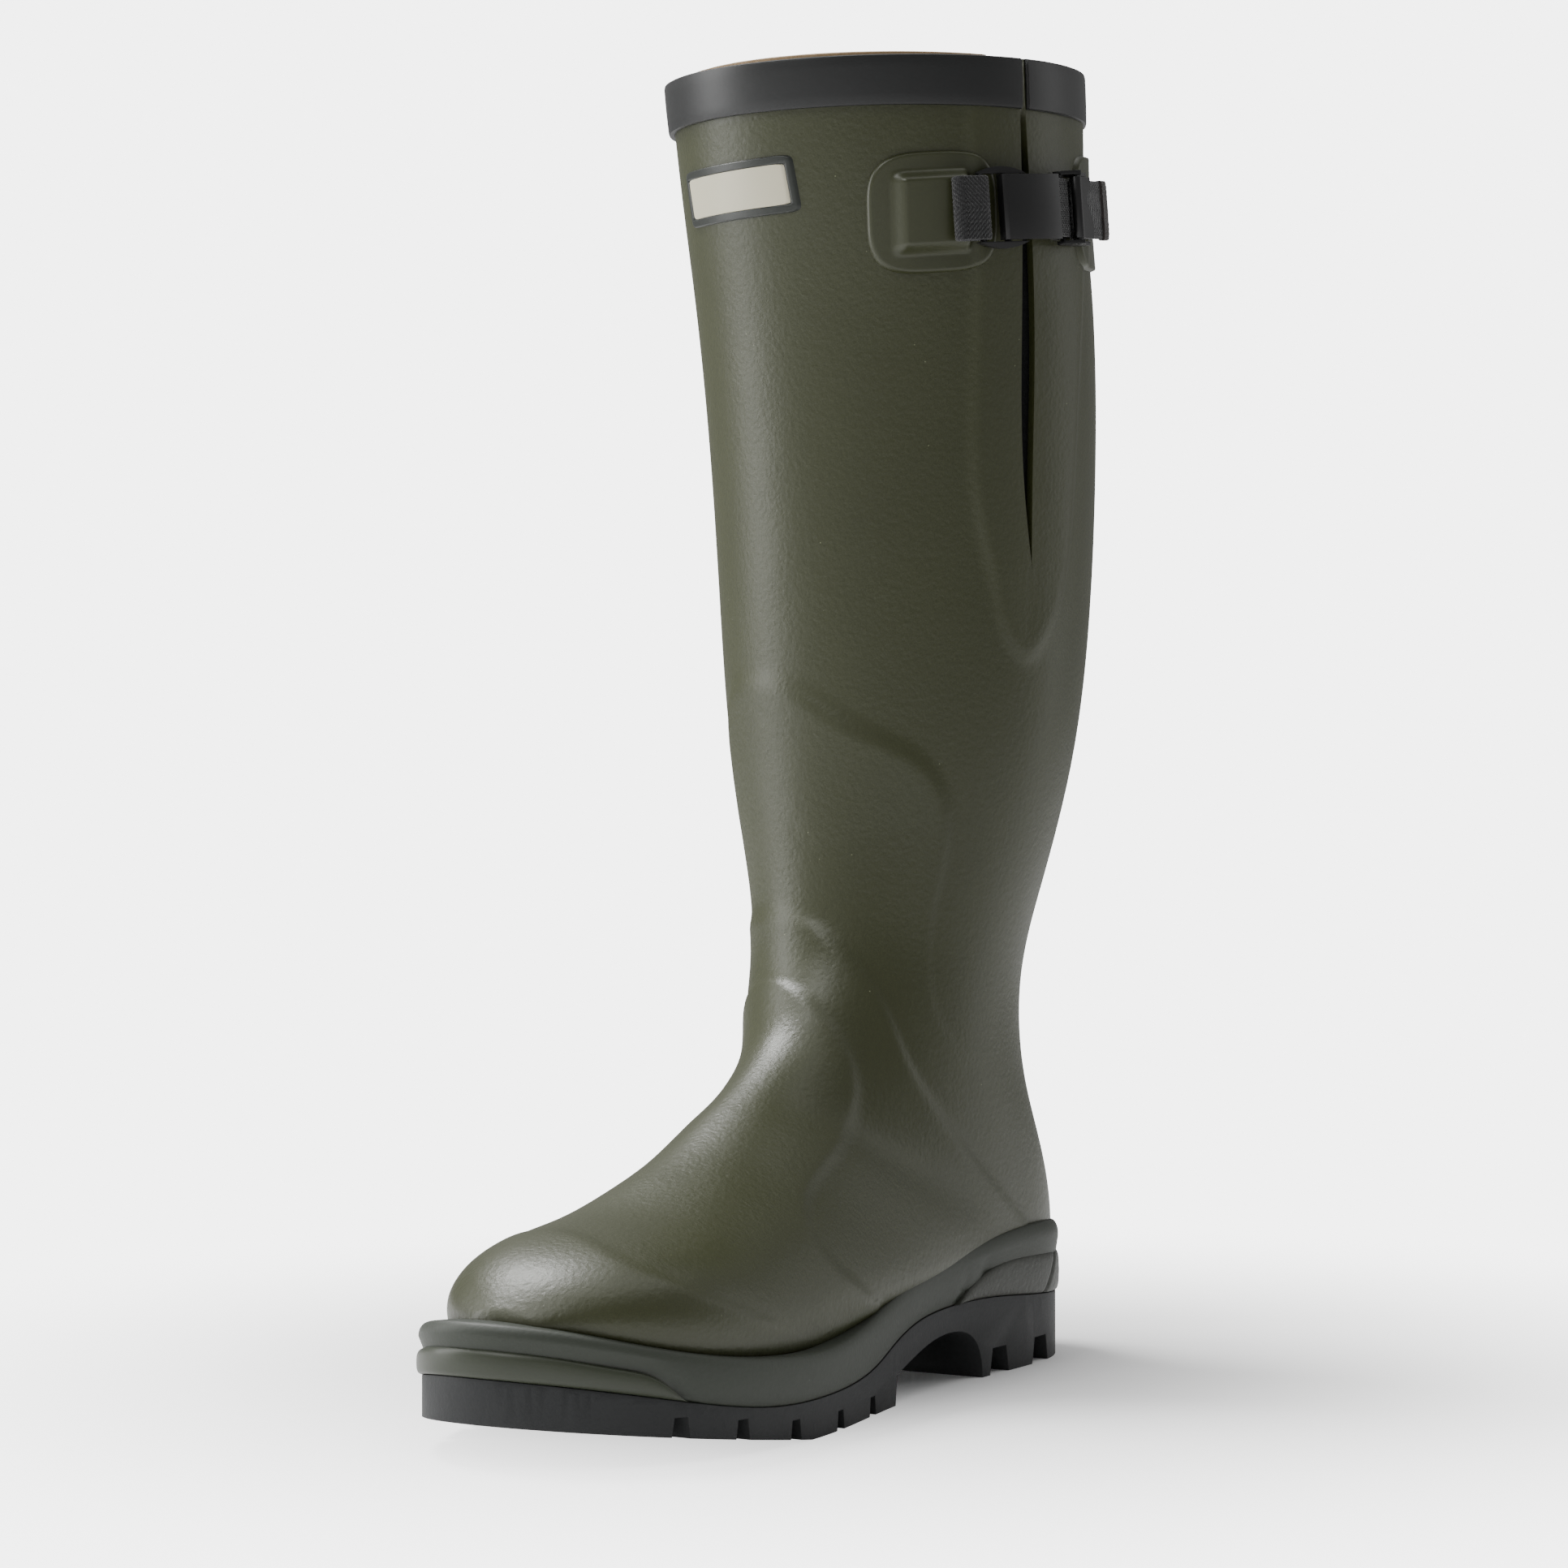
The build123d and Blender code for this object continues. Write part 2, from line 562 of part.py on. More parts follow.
with BuildPart() as neoprene_lining:
    add(form_lining_outer)
    add(form_lining_inner, mode=Mode.SUBTRACT)
    add(below_rim(1.0), mode=Mode.INTERSECT)
    add(gusset_window.part, mode=Mode.SUBTRACT)
    # Pockets for the toe puff and the heel stiffener.
    for low, high, start, end in (
        (33, 102, -262, PUFF_REAR + POCKET_PLAY),
        (32, STIFFENER_TOP + POCKET_PLAY, 8, 90),
    ):
        held = side_block([(start, low), (end, low)], [(start, high), (end, high)], -70, 70)
        add(pocket.part & held, mode=Mode.SUBTRACT)
    # Pocket for the insole board.
    under_foot = side_block([(-217, -5), (82, -5)], [(-217, 34), (82, 34)], -60, 60)
    add(pocket.part & sole_column(1.0 - BOARD_SETBACK) & under_foot, mode=Mode.SUBTRACT)
finish(neoprene_lining, "neoprene_lining")

with BuildPart() as lining_facing:
    add(form_footbed)
    add(form_facing, mode=Mode.SUBTRACT)
    add(rim_block(-0.6, FACING_HEIGHT), mode=Mode.INTERSECT)
    add(gusset_window.part, mode=Mode.SUBTRACT)
finish(lining_facing, "lining_facing")

with BuildPart() as footbed:
    add(form_footbed)
    add(side_block([(75, -10), (-250, -10)], FOOTBED_TOP, -70, 70), mode=Mode.INTERSECT)
finish(footbed, "footbed")

# ---- sole unit ----------------------------------------------------------------------------

with BuildPart() as toe_bumper:
    add(sole_ring(BUMPER_PROUD, PANEL_WALL, SOLE_TOP, [(75, 70), (-250, 70)]))
    add(side_block([(-192, -10), (-250, -10)], BUMPER_TOP, -70, 70), mode=Mode.INTERSECT)
finish(toe_bumper, "toe_bumper")

with BuildPart() as heel_panels:
    add(sole_ring(PANEL_PROUD, PANEL_WALL, SOLE_TOP, [(75, 70), (-250, 70)]))
    add(side_block([(75, -10), (-42, -10)], HEEL_LIP, -70, 70), mode=Mode.INTERSECT)
    add(form_skin, mode=Mode.SUBTRACT)

with BuildPart() as back_side:
    with BuildSketch(Plane.YZ.offset(-70)):
        with BuildLine():
            Polyline(*PANEL_JOINT, (120, PANEL_JOINT[1][1]), (120, PANEL_JOINT[0][1]), close=True)
        make_face()
    extrude(amount=140)

with BuildPart() as heel_back_guard:
    add(heel_panels.part)
    add(back_side.part, mode=Mode.INTERSECT)
finish(heel_back_guard, "heel_back_guard")

for side, label in ((1, "heel_panel_lateral"), (-1, "heel_panel_medial")):
    with BuildPart() as heel_panel:
        add(heel_panels.part)
        add(back_side.part, mode=Mode.SUBTRACT)
        with BuildSketch(Plane.XY):
            with Locations((side * 40, 0)):
                Rectangle(80, 200)
        extrude(amount=70, mode=Mode.INTERSECT)
    finish(heel_panel, label)

with BuildPart() as midsole_rand:
    add(sole_ring(0.0, RAND_WALL, SOLE_TOP, RAND_TOP))
    add(form_skin, mode=Mode.SUBTRACT)
    add(toe_bumper.part, mode=Mode.SUBTRACT)
    add(heel_panels.part, mode=Mode.SUBTRACT)
finish(midsole_rand, "midsole_rand")

# Steel shank: a curved strip let into the midsole under the waist.
with BuildPart() as steel_shank:
    raised = [(y, z + SHANK_THICKNESS) for y, z in SHANK_CURVE]
    add(side_block(SHANK_CURVE, raised, -SHANK_HALF_WIDTH, SHANK_HALF_WIDTH))
finish(steel_shank, "steel_shank")

# Midsole filler inside the rand, from the tread up to the underside of the boot.
with BuildPart() as filler:
    add(sole_column(-RAND_WALL - 0.1))
    add(side_block(SOLE_TOP, RAND_TOP, -70, 70), mode=Mode.INTERSECT)
    add(form_skin, mode=Mode.SUBTRACT)
    add(side_block([(-232, -10), (75, -10)], [(-232, 31), (75, 31)], -70, 70), mode=Mode.INTERSECT)
    add(steel_shank.part, mode=Mode.SUBTRACT)
core_front = HEEL_CORE_FRONT
for label, start, end in (("midsole_filler", -240, core_front - 0.1), ("heel_core", core_front, 80)):
    with BuildPart() as midsole_piece:
        add(filler.part)
        add(side_block([(start, -10), (end, -10)], [(start, 60), (end, 60)], -70, 70), mode=Mode.INTERSECT)
    finish(midsole_piece, label)

# Outsole: one moulding with a heel block, an arch and a cleated forefoot.
def tread_height(y):
    """Height of the tread's underside under the forefoot."""
    return max(0.0, (TOE_SPRING_START - y) * TOE_SPRING_SLOPE)


with BuildPart() as outsole:
    add(sole_column(0.0))
    with BuildSketch(Plane.YZ.offset(-70)):
        with BuildLine():
            Spline(*SOLE_TOP)
            Polyline(SOLE_TOP[-1], (-250, tread_height(-250)), (TOE_SPRING_START, 0), (TREAD_START, 0),
                     (TREAD_START + 1.5, 9.5))
            Spline((TREAD_START + 1.5, 9.5), *ARCH, (HEEL_FRONT, 0))
            Polyline((HEEL_FRONT, 0), (50, 0), (75, 7), SOLE_TOP[0])
        make_face()
    extrude(amount=140, mode=Mode.INTERSECT)
    # Side notches of the heel, wider at the ground than at the root.
    with BuildSketch(Plane.YZ) as heel_notch_sketch:
        for start, end in HEEL_NOTCHES:
            with BuildLine():
                Polyline((start - 0.5, -1), (end + 0.5, -1), (end - 1.5, HEEL_NOTCH_DEPTH),
                         (start + 1.5, HEEL_NOTCH_DEPTH), close=True)
            make_face()
    for side in (1, -1):
        moved = heel_notch_sketch.sketch.moved(Location((side * HEEL_SPINE, 0, 0)))
        extrude(moved, amount=side * 60, mode=Mode.SUBTRACT)
    # Side notches of the forefoot.
    with BuildSketch(Plane.YZ) as forefoot_notch_sketch:
        for middle in FOREFOOT_NOTCHES:
            base = tread_height(middle)
            half = FOREFOOT_NOTCH_WIDTH / 2
            with BuildLine():
                Polyline((middle - half - 0.6, base - 3), (middle + half + 0.6, base - 3),
                         (middle + half - 0.6, base + FOREFOOT_NOTCH_DEPTH),
                         (middle - half + 0.6, base + FOREFOOT_NOTCH_DEPTH), close=True)
            make_face()
    for side in (1, -1):
        moved = forefoot_notch_sketch.sketch.moved(Location((side * FOREFOOT_SPINE, 0, 0)))
        extrude(moved, amount=side * 60, mode=Mode.SUBTRACT)
    # Grooves across the spine, half a pitch away from the side notches, and one along each edge of it.
    with BuildSketch(Plane.XY.offset(-3)):
        for middle in SPINE_GROOVES:
            with Locations((0, middle)):
                Rectangle(2 * FOREFOOT_SPINE - 6, SPINE_GROOVE_WIDTH)
        for side in (1, -1):
            with Locations((side * (FOREFOOT_SPINE - 2), -142)):
                Rectangle(3.2, 104)
    extrude(amount=3 + SPINE_GROOVE_DEPTH, mode=Mode.SUBTRACT)
finish(outsole, "outsole")

# ---- badge and anchor patches -------------------------------------------------------------

with BuildPart() as badge_plate:
    add(wrapped_patch(BADGE_ANGLE, *BADGE_PLATE, form_overlay, BADGE_RISE))
finish(badge_plate, "badge_plate")
with BuildPart() as badge_frame:
    add(wrapped_patch(BADGE_ANGLE, *BADGE_FRAME, form_overlay, BADGE_RISE))
    hole = [size + 0.2 for size in BADGE_PLATE]
    add(wrapped_patch(BADGE_ANGLE, *hole, form_band, BADGE_RISE), mode=Mode.SUBTRACT)
finish(badge_frame, "badge_frame")

with BuildPart() as front_loop_pocket:
    with BuildSketch(strap_side_plane(RING_ANGLE, WEBBING_WIDTH / 2 + 0.2)):
        with Locations((RING_FRONT_BAR - 8, RING_STAND_OFF)):
            SlotCenterToCenter(16, 6.2)
    extrude(amount=WEBBING_WIDTH + 0.4)

with BuildPart() as front_anchor_patch:
    add(wrapped_patch(FRONT_PATCH_ANGLE, *FRONT_PATCH, form_band))
    with BuildSketch(strap_plane(PILLOW_ANGLE, -1.0)):
        RectangleRounded(*PILLOW)
    extrude(amount=1 + PILLOW_RISE, taper=PILLOW_TAPER)
    add(form_skin, mode=Mode.SUBTRACT)
    add(gusset_surround.part, mode=Mode.SUBTRACT)
    add(front_loop_pocket.part, mode=Mode.SUBTRACT)
finish(front_anchor_patch, "front_anchor_patch")

with BuildPart() as rear_anchor_patch:
    add(wrapped_patch(REAR_PATCH_ANGLE, *REAR_PATCH, form_band))
    add(gusset_surround.part, mode=Mode.SUBTRACT)
finish(rear_anchor_patch, "rear_anchor_patch")

# ---- strap and buckle ---------------------------------------------------------------------


def webbing_loop(angle, centre, separation, inner, turn, width):
    """Flat loop of webbing seen along its width: a slot-shaped band extruded across the strap."""
    with BuildPart() as loop:
        with BuildSketch(strap_side_plane(angle, width / 2)):
            with Locations(Location((centre[0], centre[1], 0), (0, 0, turn))):
                SlotCenterToCenter(separation, 2 * (inner + WEBBING_THICKNESS))
                SlotCenterToCenter(separation, 2 * inner, mode=Mode.SUBTRACT)
        extrude(amount=width)
    return loop.part


def strap_rod(angle, centre, radius, length):
    """Round bar across the strap, centred on the strap's middle line."""
    with BuildPart() as rod:
        with BuildSketch(strap_side_plane(angle, length / 2)):
            with Locations(centre):
                Circle(radius)
        extrude(amount=length)
    return rod.part


def side_profile(angle, points, from_edge, width):
    """Closed side-view outline (rearward, outward) extruded across the strap."""
    with BuildPart() as slab:
        with BuildSketch(strap_side_plane(angle, from_edge)):
            with BuildLine():
                Polyline(*points, close=True)
            make_face()
        extrude(amount=width)
    return slab.part


with BuildPart() as front_webbing_loop:
    add(webbing_loop(RING_ANGLE, (RING_FRONT_BAR - 3.6, RING_STAND_OFF), 7.2, RING_BAR_RADIUS + 0.5, 0,
                     WEBBING_WIDTH))
finish(front_webbing_loop, "front_webbing_loop")

# Buckle ring: two lens-shaped side rails joined by a front and a rear bar.
with BuildPart() as buckle_ring:
    for side in (1, -1):
        with BuildSketch(strap_plane(RING_ANGLE, RING_STAND_OFF - RAIL_THICKNESS / 2)):
            with BuildLine():
                Line((-RAIL_HALF_LENGTH, side * RAIL_INNER), (RAIL_HALF_LENGTH, side * RAIL_INNER))
                ThreePointArc((RAIL_HALF_LENGTH, side * RAIL_INNER), (0, side * RAIL_OUTER),
                              (-RAIL_HALF_LENGTH, side * RAIL_INNER))
            make_face()
        extrude(amount=RAIL_THICKNESS)
    for bar in (RING_FRONT_BAR, RING_REAR_BAR):
        add(strap_rod(RING_ANGLE, (bar, RING_STAND_OFF), RING_BAR_RADIUS, 2 * RAIL_INNER + 1.2))
finish(buckle_ring, "buckle_ring")

# Hook plate: a flat cover with its front edge turned down as a claw ahead of the ring's rear bar.
plate_top = HOOK_PLATE_BOTTOM + HOOK_PLATE_THICKNESS
claw_back = HOOK_FRONT + HOOK_PLATE_THICKNESS
with BuildPart() as hook_plate:
    add(side_profile(HOOK_ANGLE, [
        (HOOK_FRONT, CLAW_BOTTOM), (HOOK_FRONT, plate_top - 0.9), (HOOK_FRONT + 0.9, plate_top),
        (HOOK_REAR, plate_top), (HOOK_REAR, HOOK_PLATE_BOTTOM), (claw_back, HOOK_PLATE_BOTTOM),
        (claw_back, CLAW_BOTTOM),
    ], PLATE_HALF, 2 * PLATE_HALF))
    for start in (PLATE_HALF, -CHEEK_INNER):
        add(side_profile(HOOK_ANGLE, [
            (HOOK_REAR - 4.5, HOOK_PLATE_BOTTOM + 0.1), (HOOK_REAR, HOOK_PLATE_BOTTOM + 0.1),
            (HOOK_BAR[0] + 1.1, HOOK_BAR[1] + 0.6), (HOOK_BAR[0] + 0.9, HOOK_BAR[1] - 0.9),
            (HOOK_BAR[0] - 1.2, HOOK_BAR[1] - 0.6),
        ], start, PLATE_HALF - CHEEK_INNER))
    add(strap_rod(HOOK_ANGLE, HOOK_BAR, HOOK_BAR_RADIUS, 2 * PLATE_HALF))
finish(hook_plate, "hook_plate")

# Strap webbing: a coarse loop from the hook plate's bar to the adjuster frame's front bar.
hook_bar_point = strap_plane(HOOK_ANGLE, HOOK_BAR[1]).from_local_coords((HOOK_BAR[0], 0, 0))
hook_bar_local = strap_plane(ADJUSTER_ANGLE).to_local_coords(hook_bar_point)
reach_x = FRAME_BAR[0] - hook_bar_local.X
reach_z = FRAME_BAR[1] - hook_bar_local.Z
strap_middle = (hook_bar_local.X + reach_x / 2, hook_bar_local.Z + reach_z / 2)
strap_turn = math.degrees(math.atan2(reach_z, reach_x))
with BuildPart() as strap_webbing:
    add(webbing_loop(ADJUSTER_ANGLE, strap_middle, math.hypot(reach_x, reach_z),
                     HOOK_BAR_RADIUS + 0.3, strap_turn, COARSE_WIDTH))
finish(strap_webbing, "strap_webbing")

# Adjuster frame: two cheeks with ears for the pin, joined by a front and a rear bar.
with BuildPart() as adjuster_frame:
    for start in (FRAME_INNER + FRAME_WALL, -FRAME_INNER):
        add(side_profile(ADJUSTER_ANGLE, [
            (-8.4, 1.6), (8.0, 0.8), (8.0, 5.4), (1.0, 6.2), (PIN_CENTRE[0] + 2.0, PIN_CENTRE[1] + 1.0),
            (PIN_CENTRE[0], PIN_CENTRE[1] + 1.9), (PIN_CENTRE[0] - 2.0, PIN_CENTRE[1] + 0.8), (-8.4, 4.4),
        ], start, FRAME_WALL))
    for bar in (FRAME_BAR, FRAME_REAR_BAR):
        add(strap_rod(ADJUSTER_ANGLE, bar, FRAME_BAR_RADIUS, 2 * FRAME_INNER + 0.4))
    add(strap_rod(ADJUSTER_ANGLE, PIN_CENTRE, PIN_RADIUS + 0.02, 40), mode=Mode.SUBTRACT)
finish(adjuster_frame, "adjuster_frame")

with BuildPart() as adjuster_pin:
    add(strap_rod(ADJUSTER_ANGLE, PIN_CENTRE, PIN_RADIUS, 2 * (FRAME_INNER + FRAME_WALL) + 0.4))
finish(adjuster_pin, "adjuster_pin")

# Adjuster lever: a knuckle on the pin and a waved blade that reaches to the rear.
with BuildPart() as adjuster_lever:
    with BuildSketch(strap_plane(ADJUSTER_ANGLE, PIN_CENTRE[1] - LEVER_THICKNESS / 2)):
        with BuildLine():
            Spline((-3.2, -LEVER_HALF), (-3.4, -4), (-4.6, 3), (-3.8, LEVER_HALF))
            Line((-3.8, LEVER_HALF), (5.2, LEVER_HALF))
            Spline((5.2, LEVER_HALF), (5.0, 6.5), (2.6, 3.4), (5.6, -3.5), (6.4, -7), (5.4, -LEVER_HALF))
            Line((5.4, -LEVER_HALF), (-3.2, -LEVER_HALF))
        make_face()
    extrude(amount=LEVER_THICKNESS)
    add(strap_rod(ADJUSTER_ANGLE, PIN_CENTRE, KNUCKLE_RADIUS, 2 * LEVER_HALF))
    add(strap_rod(ADJUSTER_ANGLE, PIN_CENTRE, PIN_RADIUS + 0.06, 40), mode=Mode.SUBTRACT)
finish(adjuster_lever, "adjuster_lever")

with BuildPart() as strap_tail:
    add(side_profile(ADJUSTER_ANGLE, [
        (TAIL_FRONT, TAIL_BOTTOM), (TAIL_REAR - 1.0, TAIL_BOTTOM),
        (TAIL_REAR - 1.0, TAIL_BOTTOM + WEBBING_THICKNESS), (TAIL_FRONT, TAIL_BOTTOM + WEBBING_THICKNESS),
    ], COARSE_WIDTH / 2, COARSE_WIDTH))
finish(strap_tail, "strap_tail")

with BuildPart() as tail_hem:
    add(side_profile(ADJUSTER_ANGLE, [
        (TAIL_REAR - HEM_LENGTH, TAIL_BOTTOM - HEM_WRAP), (TAIL_REAR, TAIL_BOTTOM - HEM_WRAP),
        (TAIL_REAR, TAIL_BOTTOM + WEBBING_THICKNESS + HEM_WRAP),
        (TAIL_REAR - HEM_LENGTH, TAIL_BOTTOM + WEBBING_THICKNESS + HEM_WRAP),
    ], COARSE_WIDTH / 2 + 0.3, COARSE_WIDTH + 0.6))
    add(strap_tail.part, mode=Mode.SUBTRACT)
finish(tail_hem, "tail_hem")

with BuildPart() as rear_webbing_loop:
    add(webbing_loop(ADJUSTER_ANGLE, (FRAME_REAR_BAR[0] + 4.5, FRAME_REAR_BAR[1] - 0.4), 9.0, 1.05, -5.0,
                     COARSE_WIDTH))
    add(form_band, mode=Mode.SUBTRACT)
finish(rear_webbing_loop, "rear_webbing_loop")
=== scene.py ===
"""Insulated rubber field boot: the looks, laid out as an add-on and run as a script.

Lengths are written in millimetres and turned to metres where a mesh is made.
Toe towards -Y, outer side towards +X, up is +Z.
"""

import math

import bpy
import numpy as np
from bpy.props import FloatProperty, FloatVectorProperty, PointerProperty
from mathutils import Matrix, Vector
from mathutils.bvhtree import BVHTree


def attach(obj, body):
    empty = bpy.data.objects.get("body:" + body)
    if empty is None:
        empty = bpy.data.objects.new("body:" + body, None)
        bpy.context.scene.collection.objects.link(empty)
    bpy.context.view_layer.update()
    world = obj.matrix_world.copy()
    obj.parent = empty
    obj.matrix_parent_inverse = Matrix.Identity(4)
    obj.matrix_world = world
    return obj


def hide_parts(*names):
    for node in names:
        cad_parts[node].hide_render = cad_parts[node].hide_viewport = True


bl_info = {
    "name": "Field Boot",
    "version": (1, 0, 0),
    "blender": (4, 5, 0),
    "location": "3D View > Sidebar > Boot",
    "description": "Builds a tall insulated rubber boot round its CAD frame",
    "category": "Object",
}

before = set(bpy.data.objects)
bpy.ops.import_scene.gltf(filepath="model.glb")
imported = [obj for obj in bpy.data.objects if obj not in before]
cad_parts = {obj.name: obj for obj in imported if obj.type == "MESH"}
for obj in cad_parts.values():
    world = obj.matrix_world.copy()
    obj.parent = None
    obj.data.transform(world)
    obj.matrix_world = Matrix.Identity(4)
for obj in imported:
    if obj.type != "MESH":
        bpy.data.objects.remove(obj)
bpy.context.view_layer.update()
MM = 0.001

# ---- the boot's form -------------------------------------------------------
# One row a section: front y, z; rear y, z; lateral, medial half width; front, rear squareness;
# share of the way to the widest point; how far it is the closed toe.
STATIONS = [
    (-84, 416.5, 56, 424.5, 66, 66, 2, 2, 0.5, 0),
    (-76.5, 383, 59, 388, 65.5, 65.5, 2, 2, 0.5, 0),
    (-69, 350, 66.5, 352, 65, 65, 2, 2, 0.5, 0),
    (-62, 300, 72.5, 301, 63, 63, 2, 2, 0.5, 0),
    (-58, 250, 71.5, 250, 60.5, 60.5, 2, 2, 0.5, 0),
    (-55, 200, 64.5, 199, 55.5, 55.5, 2, 2, 0.5, 0),
    (-54, 162, 54.5, 157, 46.8, 46.8, 2, 2, 0.5, 0),
    (-57, 137, 45.5, 122, 41, 41, 2, 2.1, 0.5, 0),
    (-65, 121, 49.5, 86, 40, 40, 2, 2.3, 0.52, 0),
    (-77, 108, 61, 52, 41, 38.5, 2, 2.6, 0.58, 0),
    (-92, 98.5, 57, 27, 41, 38, 2, 3, 0.64, 0),
    (-109, 89.5, 4, 27, 42.5, 38, 2, 3.2, 0.7, 0),
    (-128, 80, -44, 28, 45, 38, 2, 3.2, 0.74, 0),
    (-149, 72, -92, 23, 48, 40, 2, 3.2, 0.71, 0),
    (-170, 65.5, -136, 15.5, 49.5, 43, 2.1, 3.2, 0.66, 0),
    (-190, 62, -172, 17, 48.5, 42, 2.2, 3, 0.62, 0.2),
    (-208, 58, -200, 22, 42, 35, 2.2, 2.8, 0.6, 0.5),
    (-222, 51, -219, 29, 29, 23, 2.1, 2.4, 0.55, 0.8),
    (-231, 43, -230, 35, 13, 8, 2, 2, 0.5, 1),
]
SOLE_OUTLINE = [
    (0, 61), (20, 58), (34, 48), (41.5, 33), (43.5, 10), (43, -19), (43.5, -52), (47, -87),
    (52.5, -120), (55.5, -148), (54, -172), (48, -196), (36, -217), (19, -232), (0, -238),
    (-19, -234), (-34, -219), (-43, -197), (-47.5, -170), (-46.5, -145), (-43, -115),
    (-40, -80), (-39.5, -50), (-40.5, -19), (-41, 10), (-39, 33), (-32, 48), (-19, 58),
]
# Heights along the side of the sole, as (y, z), from the toe to the back of the heel.
SOLE_TOP = [
    (-250, 27), (-229, 23), (-203, 17.4), (-171, 12.2), (-140, 11.4), (-116, 12.2), (-98, 14.8),
    (-81, 19.8), (-64, 23.5), (-42, 25.2), (-20, 25.3), (13, 23), (42, 21), (75, 19.5),
]
RAND_TOP = [
    (-250, 43), (-236, 40), (-212, 33.4), (-171, 26.3), (-140, 25), (-114, 27), (-95, 30.3),
    (-75, 35), (-53, 39), (-20, 43), (13, 45.6), (39, 45), (75, 42),
]
BUMPER_TOP = [(-250, 36), (-236, 33.4), (-220, 28.7), (-209, 24), (-203, 18.5), (-197, 15.2)]
HEEL_LIP = [(-40, 25), (-31, 29.5), (-20, 33.5), (-8, 36), (10, 36.8), (42, 35.5), (75, 34.5)]
PANEL_JOINT = [(15, 16), (39, 36)]                 # (z, y) of the slanted joint in the heel's side
FOOTBED_TOP = [
    (-250, 46), (-205, 36), (-172, 30), (-136, 29), (-92, 35), (-44, 39.5), (0, 39), (30, 39.5), (75, 41),
]
SLIT_BOTTOM = 260.0
SLIT_FRONT = [(260, -14.8), (285, -19.6), (330, -24.6), (375, -29.3), (412, -33.6), (440, -36)]
SLIT_REAR = [(260, -14.8), (285, -16.2), (330, -19.2), (375, -25.6), (412, -31.4), (440, -34)]

# Edges of the reinforcing skins: (x, y, z, height of the step). The skin lies ahead of and below
# each edge, or inside it for the gusset.
SHIN_EDGE = [
    (-38, -8, 104, 0), (-34, -34, 118, 0.5), (-33, -37, 150, 0.6), (-39, -34, 176, 0.8), (-43, -33, 200, 0.9),
    (-40.9, -37.9, 218, 1), (-21, -52.2, 224.4, 1), (-9.1, -55.5, 222.2, 1.1), (13.3, -53.8, 209.8, 1.2),
    (34.5, -41.6, 196.1, 1.2), (38.3, -36.3, 185.4, 1.1), (38.1, -34.3, 174, 0.9), (33.7, -36.1, 151.1, 0.7),
    (32.8, -36.7, 130.2, 0.5), (35.1, -33.6, 114.1, 0.4), (38.4, -22.3, 106, 0.2), (40, -5.7, 103.9, 0),
]
ANKLE_EDGE = [
    (-38, 10.6, 48.1, 0.4), (-37, -19, 69, 0.8), (-36, -30, 88.6, 0.9), (-37.5, -28, 108, 0.9),
    (-38, -26.5, 128, 0.9), (-35, -33.5, 143, 0.9), (-25, -45.5, 148, 1), (-12, -52.5, 148.6, 1.1),
    (0, -55.2, 146, 1.2),
    (13.6, -54.3, 135.7, 1.1), (24.3, -51.5, 120, 1.1), (31.7, -46.4, 99.4, 1), (35.1, -39.2, 88.6, 1),
    (39.6, -19.2, 69.2, 1), (41.4, 10.6, 48.1, 0.8),
]
INSTEP_EDGE = [
    (-40, -87.5, 30, 0.3), (-42, -114, 43, 0.6), (-38, -124, 54, 0.7), (-32, -119.4, 64, 0.8),
    (-27, -103.4, 73, 0.9), (-31, -72, 75, 0.9), (-34, -41, 95, 0.9), (-32, -40, 114, 0.9),
    (-22, -51.8, 125.4, 1), (-9.4, -59.3, 127.3, 1.2), (5.2, -64.1, 121.4, 1.2), (16.5, -65.9, 110.2, 1.2),
    (22.4, -67.5, 98.1, 1.1),
    (26.4, -77.8, 83.8, 1), (30.7, -103.4, 71.3, 0.9), (35.6, -119.4, 63.3, 0.9), (43, -124.5, 54.1, 0.8),
    (48.1, -114.3, 42.8, 0.8), (42.5, -87.5, 29.2, 0.6),
]
TOE_EDGE = [
    (-46, -168, 34, 0.4), (-38, -180, 46, 0.5), (-21.5, -187.9, 58.8, 0.5), (7.4, -197, 60.6, 0.6),
    (28, -203.4, 54.4, 0.6), (41.2, -194.8, 47.4, 0.6), (48.8, -171, 38.1, 0.5),
]
GUSSET_EDGE = [
    (58.6, 18.4, 415, 0.9), (63.5, 11, 375, 1), (64.5, 7, 340, 1), (61.7, 4.9, 273, 1), (59.6, -1.7, 244, 1),
    (58.3, -6.7, 237, 1), (55.7, -14.8, 231, 1), (53.1, -22.4, 237, 1), (51.6, -27.1, 250, 1),
    (49, -33.7, 273, 1.1), (51.3, -40.9, 341, 1.1), (54.1, -50.8, 401, 1), (54.6, -53, 418, 0.8),
]

# ---- the strap's own circle ------------------------------------------------
STRAP_RADIUS = 66.3
STRAP_HUB = np.array([0, -9.5, 372.5])
STRAP_REFERENCE = -18.0
STRAP_TILT = 5.5
RING_ANGLE = -29.0
ADJUSTER_ANGLE = 0.0
HOOK_ANGLE = -21.0
COARSE_WIDTH = 18.6


# ---- small tools -----------------------------------------------------------

def linear(code):
    """A colour as linear numbers, from its sRGB hex code."""
    parts = [int(code[i:i + 2], 16) / 255 for i in (0, 2, 4)]
    return tuple(c / 12.92 if c <= 0.04045 else ((c + 0.055) / 1.055) ** 2.4 for c in parts)


def deselect():
    """Leave edit mode and select nothing."""
    if bpy.context.object and bpy.context.object.mode != "OBJECT":
        bpy.ops.object.mode_set(mode="OBJECT")
    bpy.ops.object.select_all(action="DESELECT")


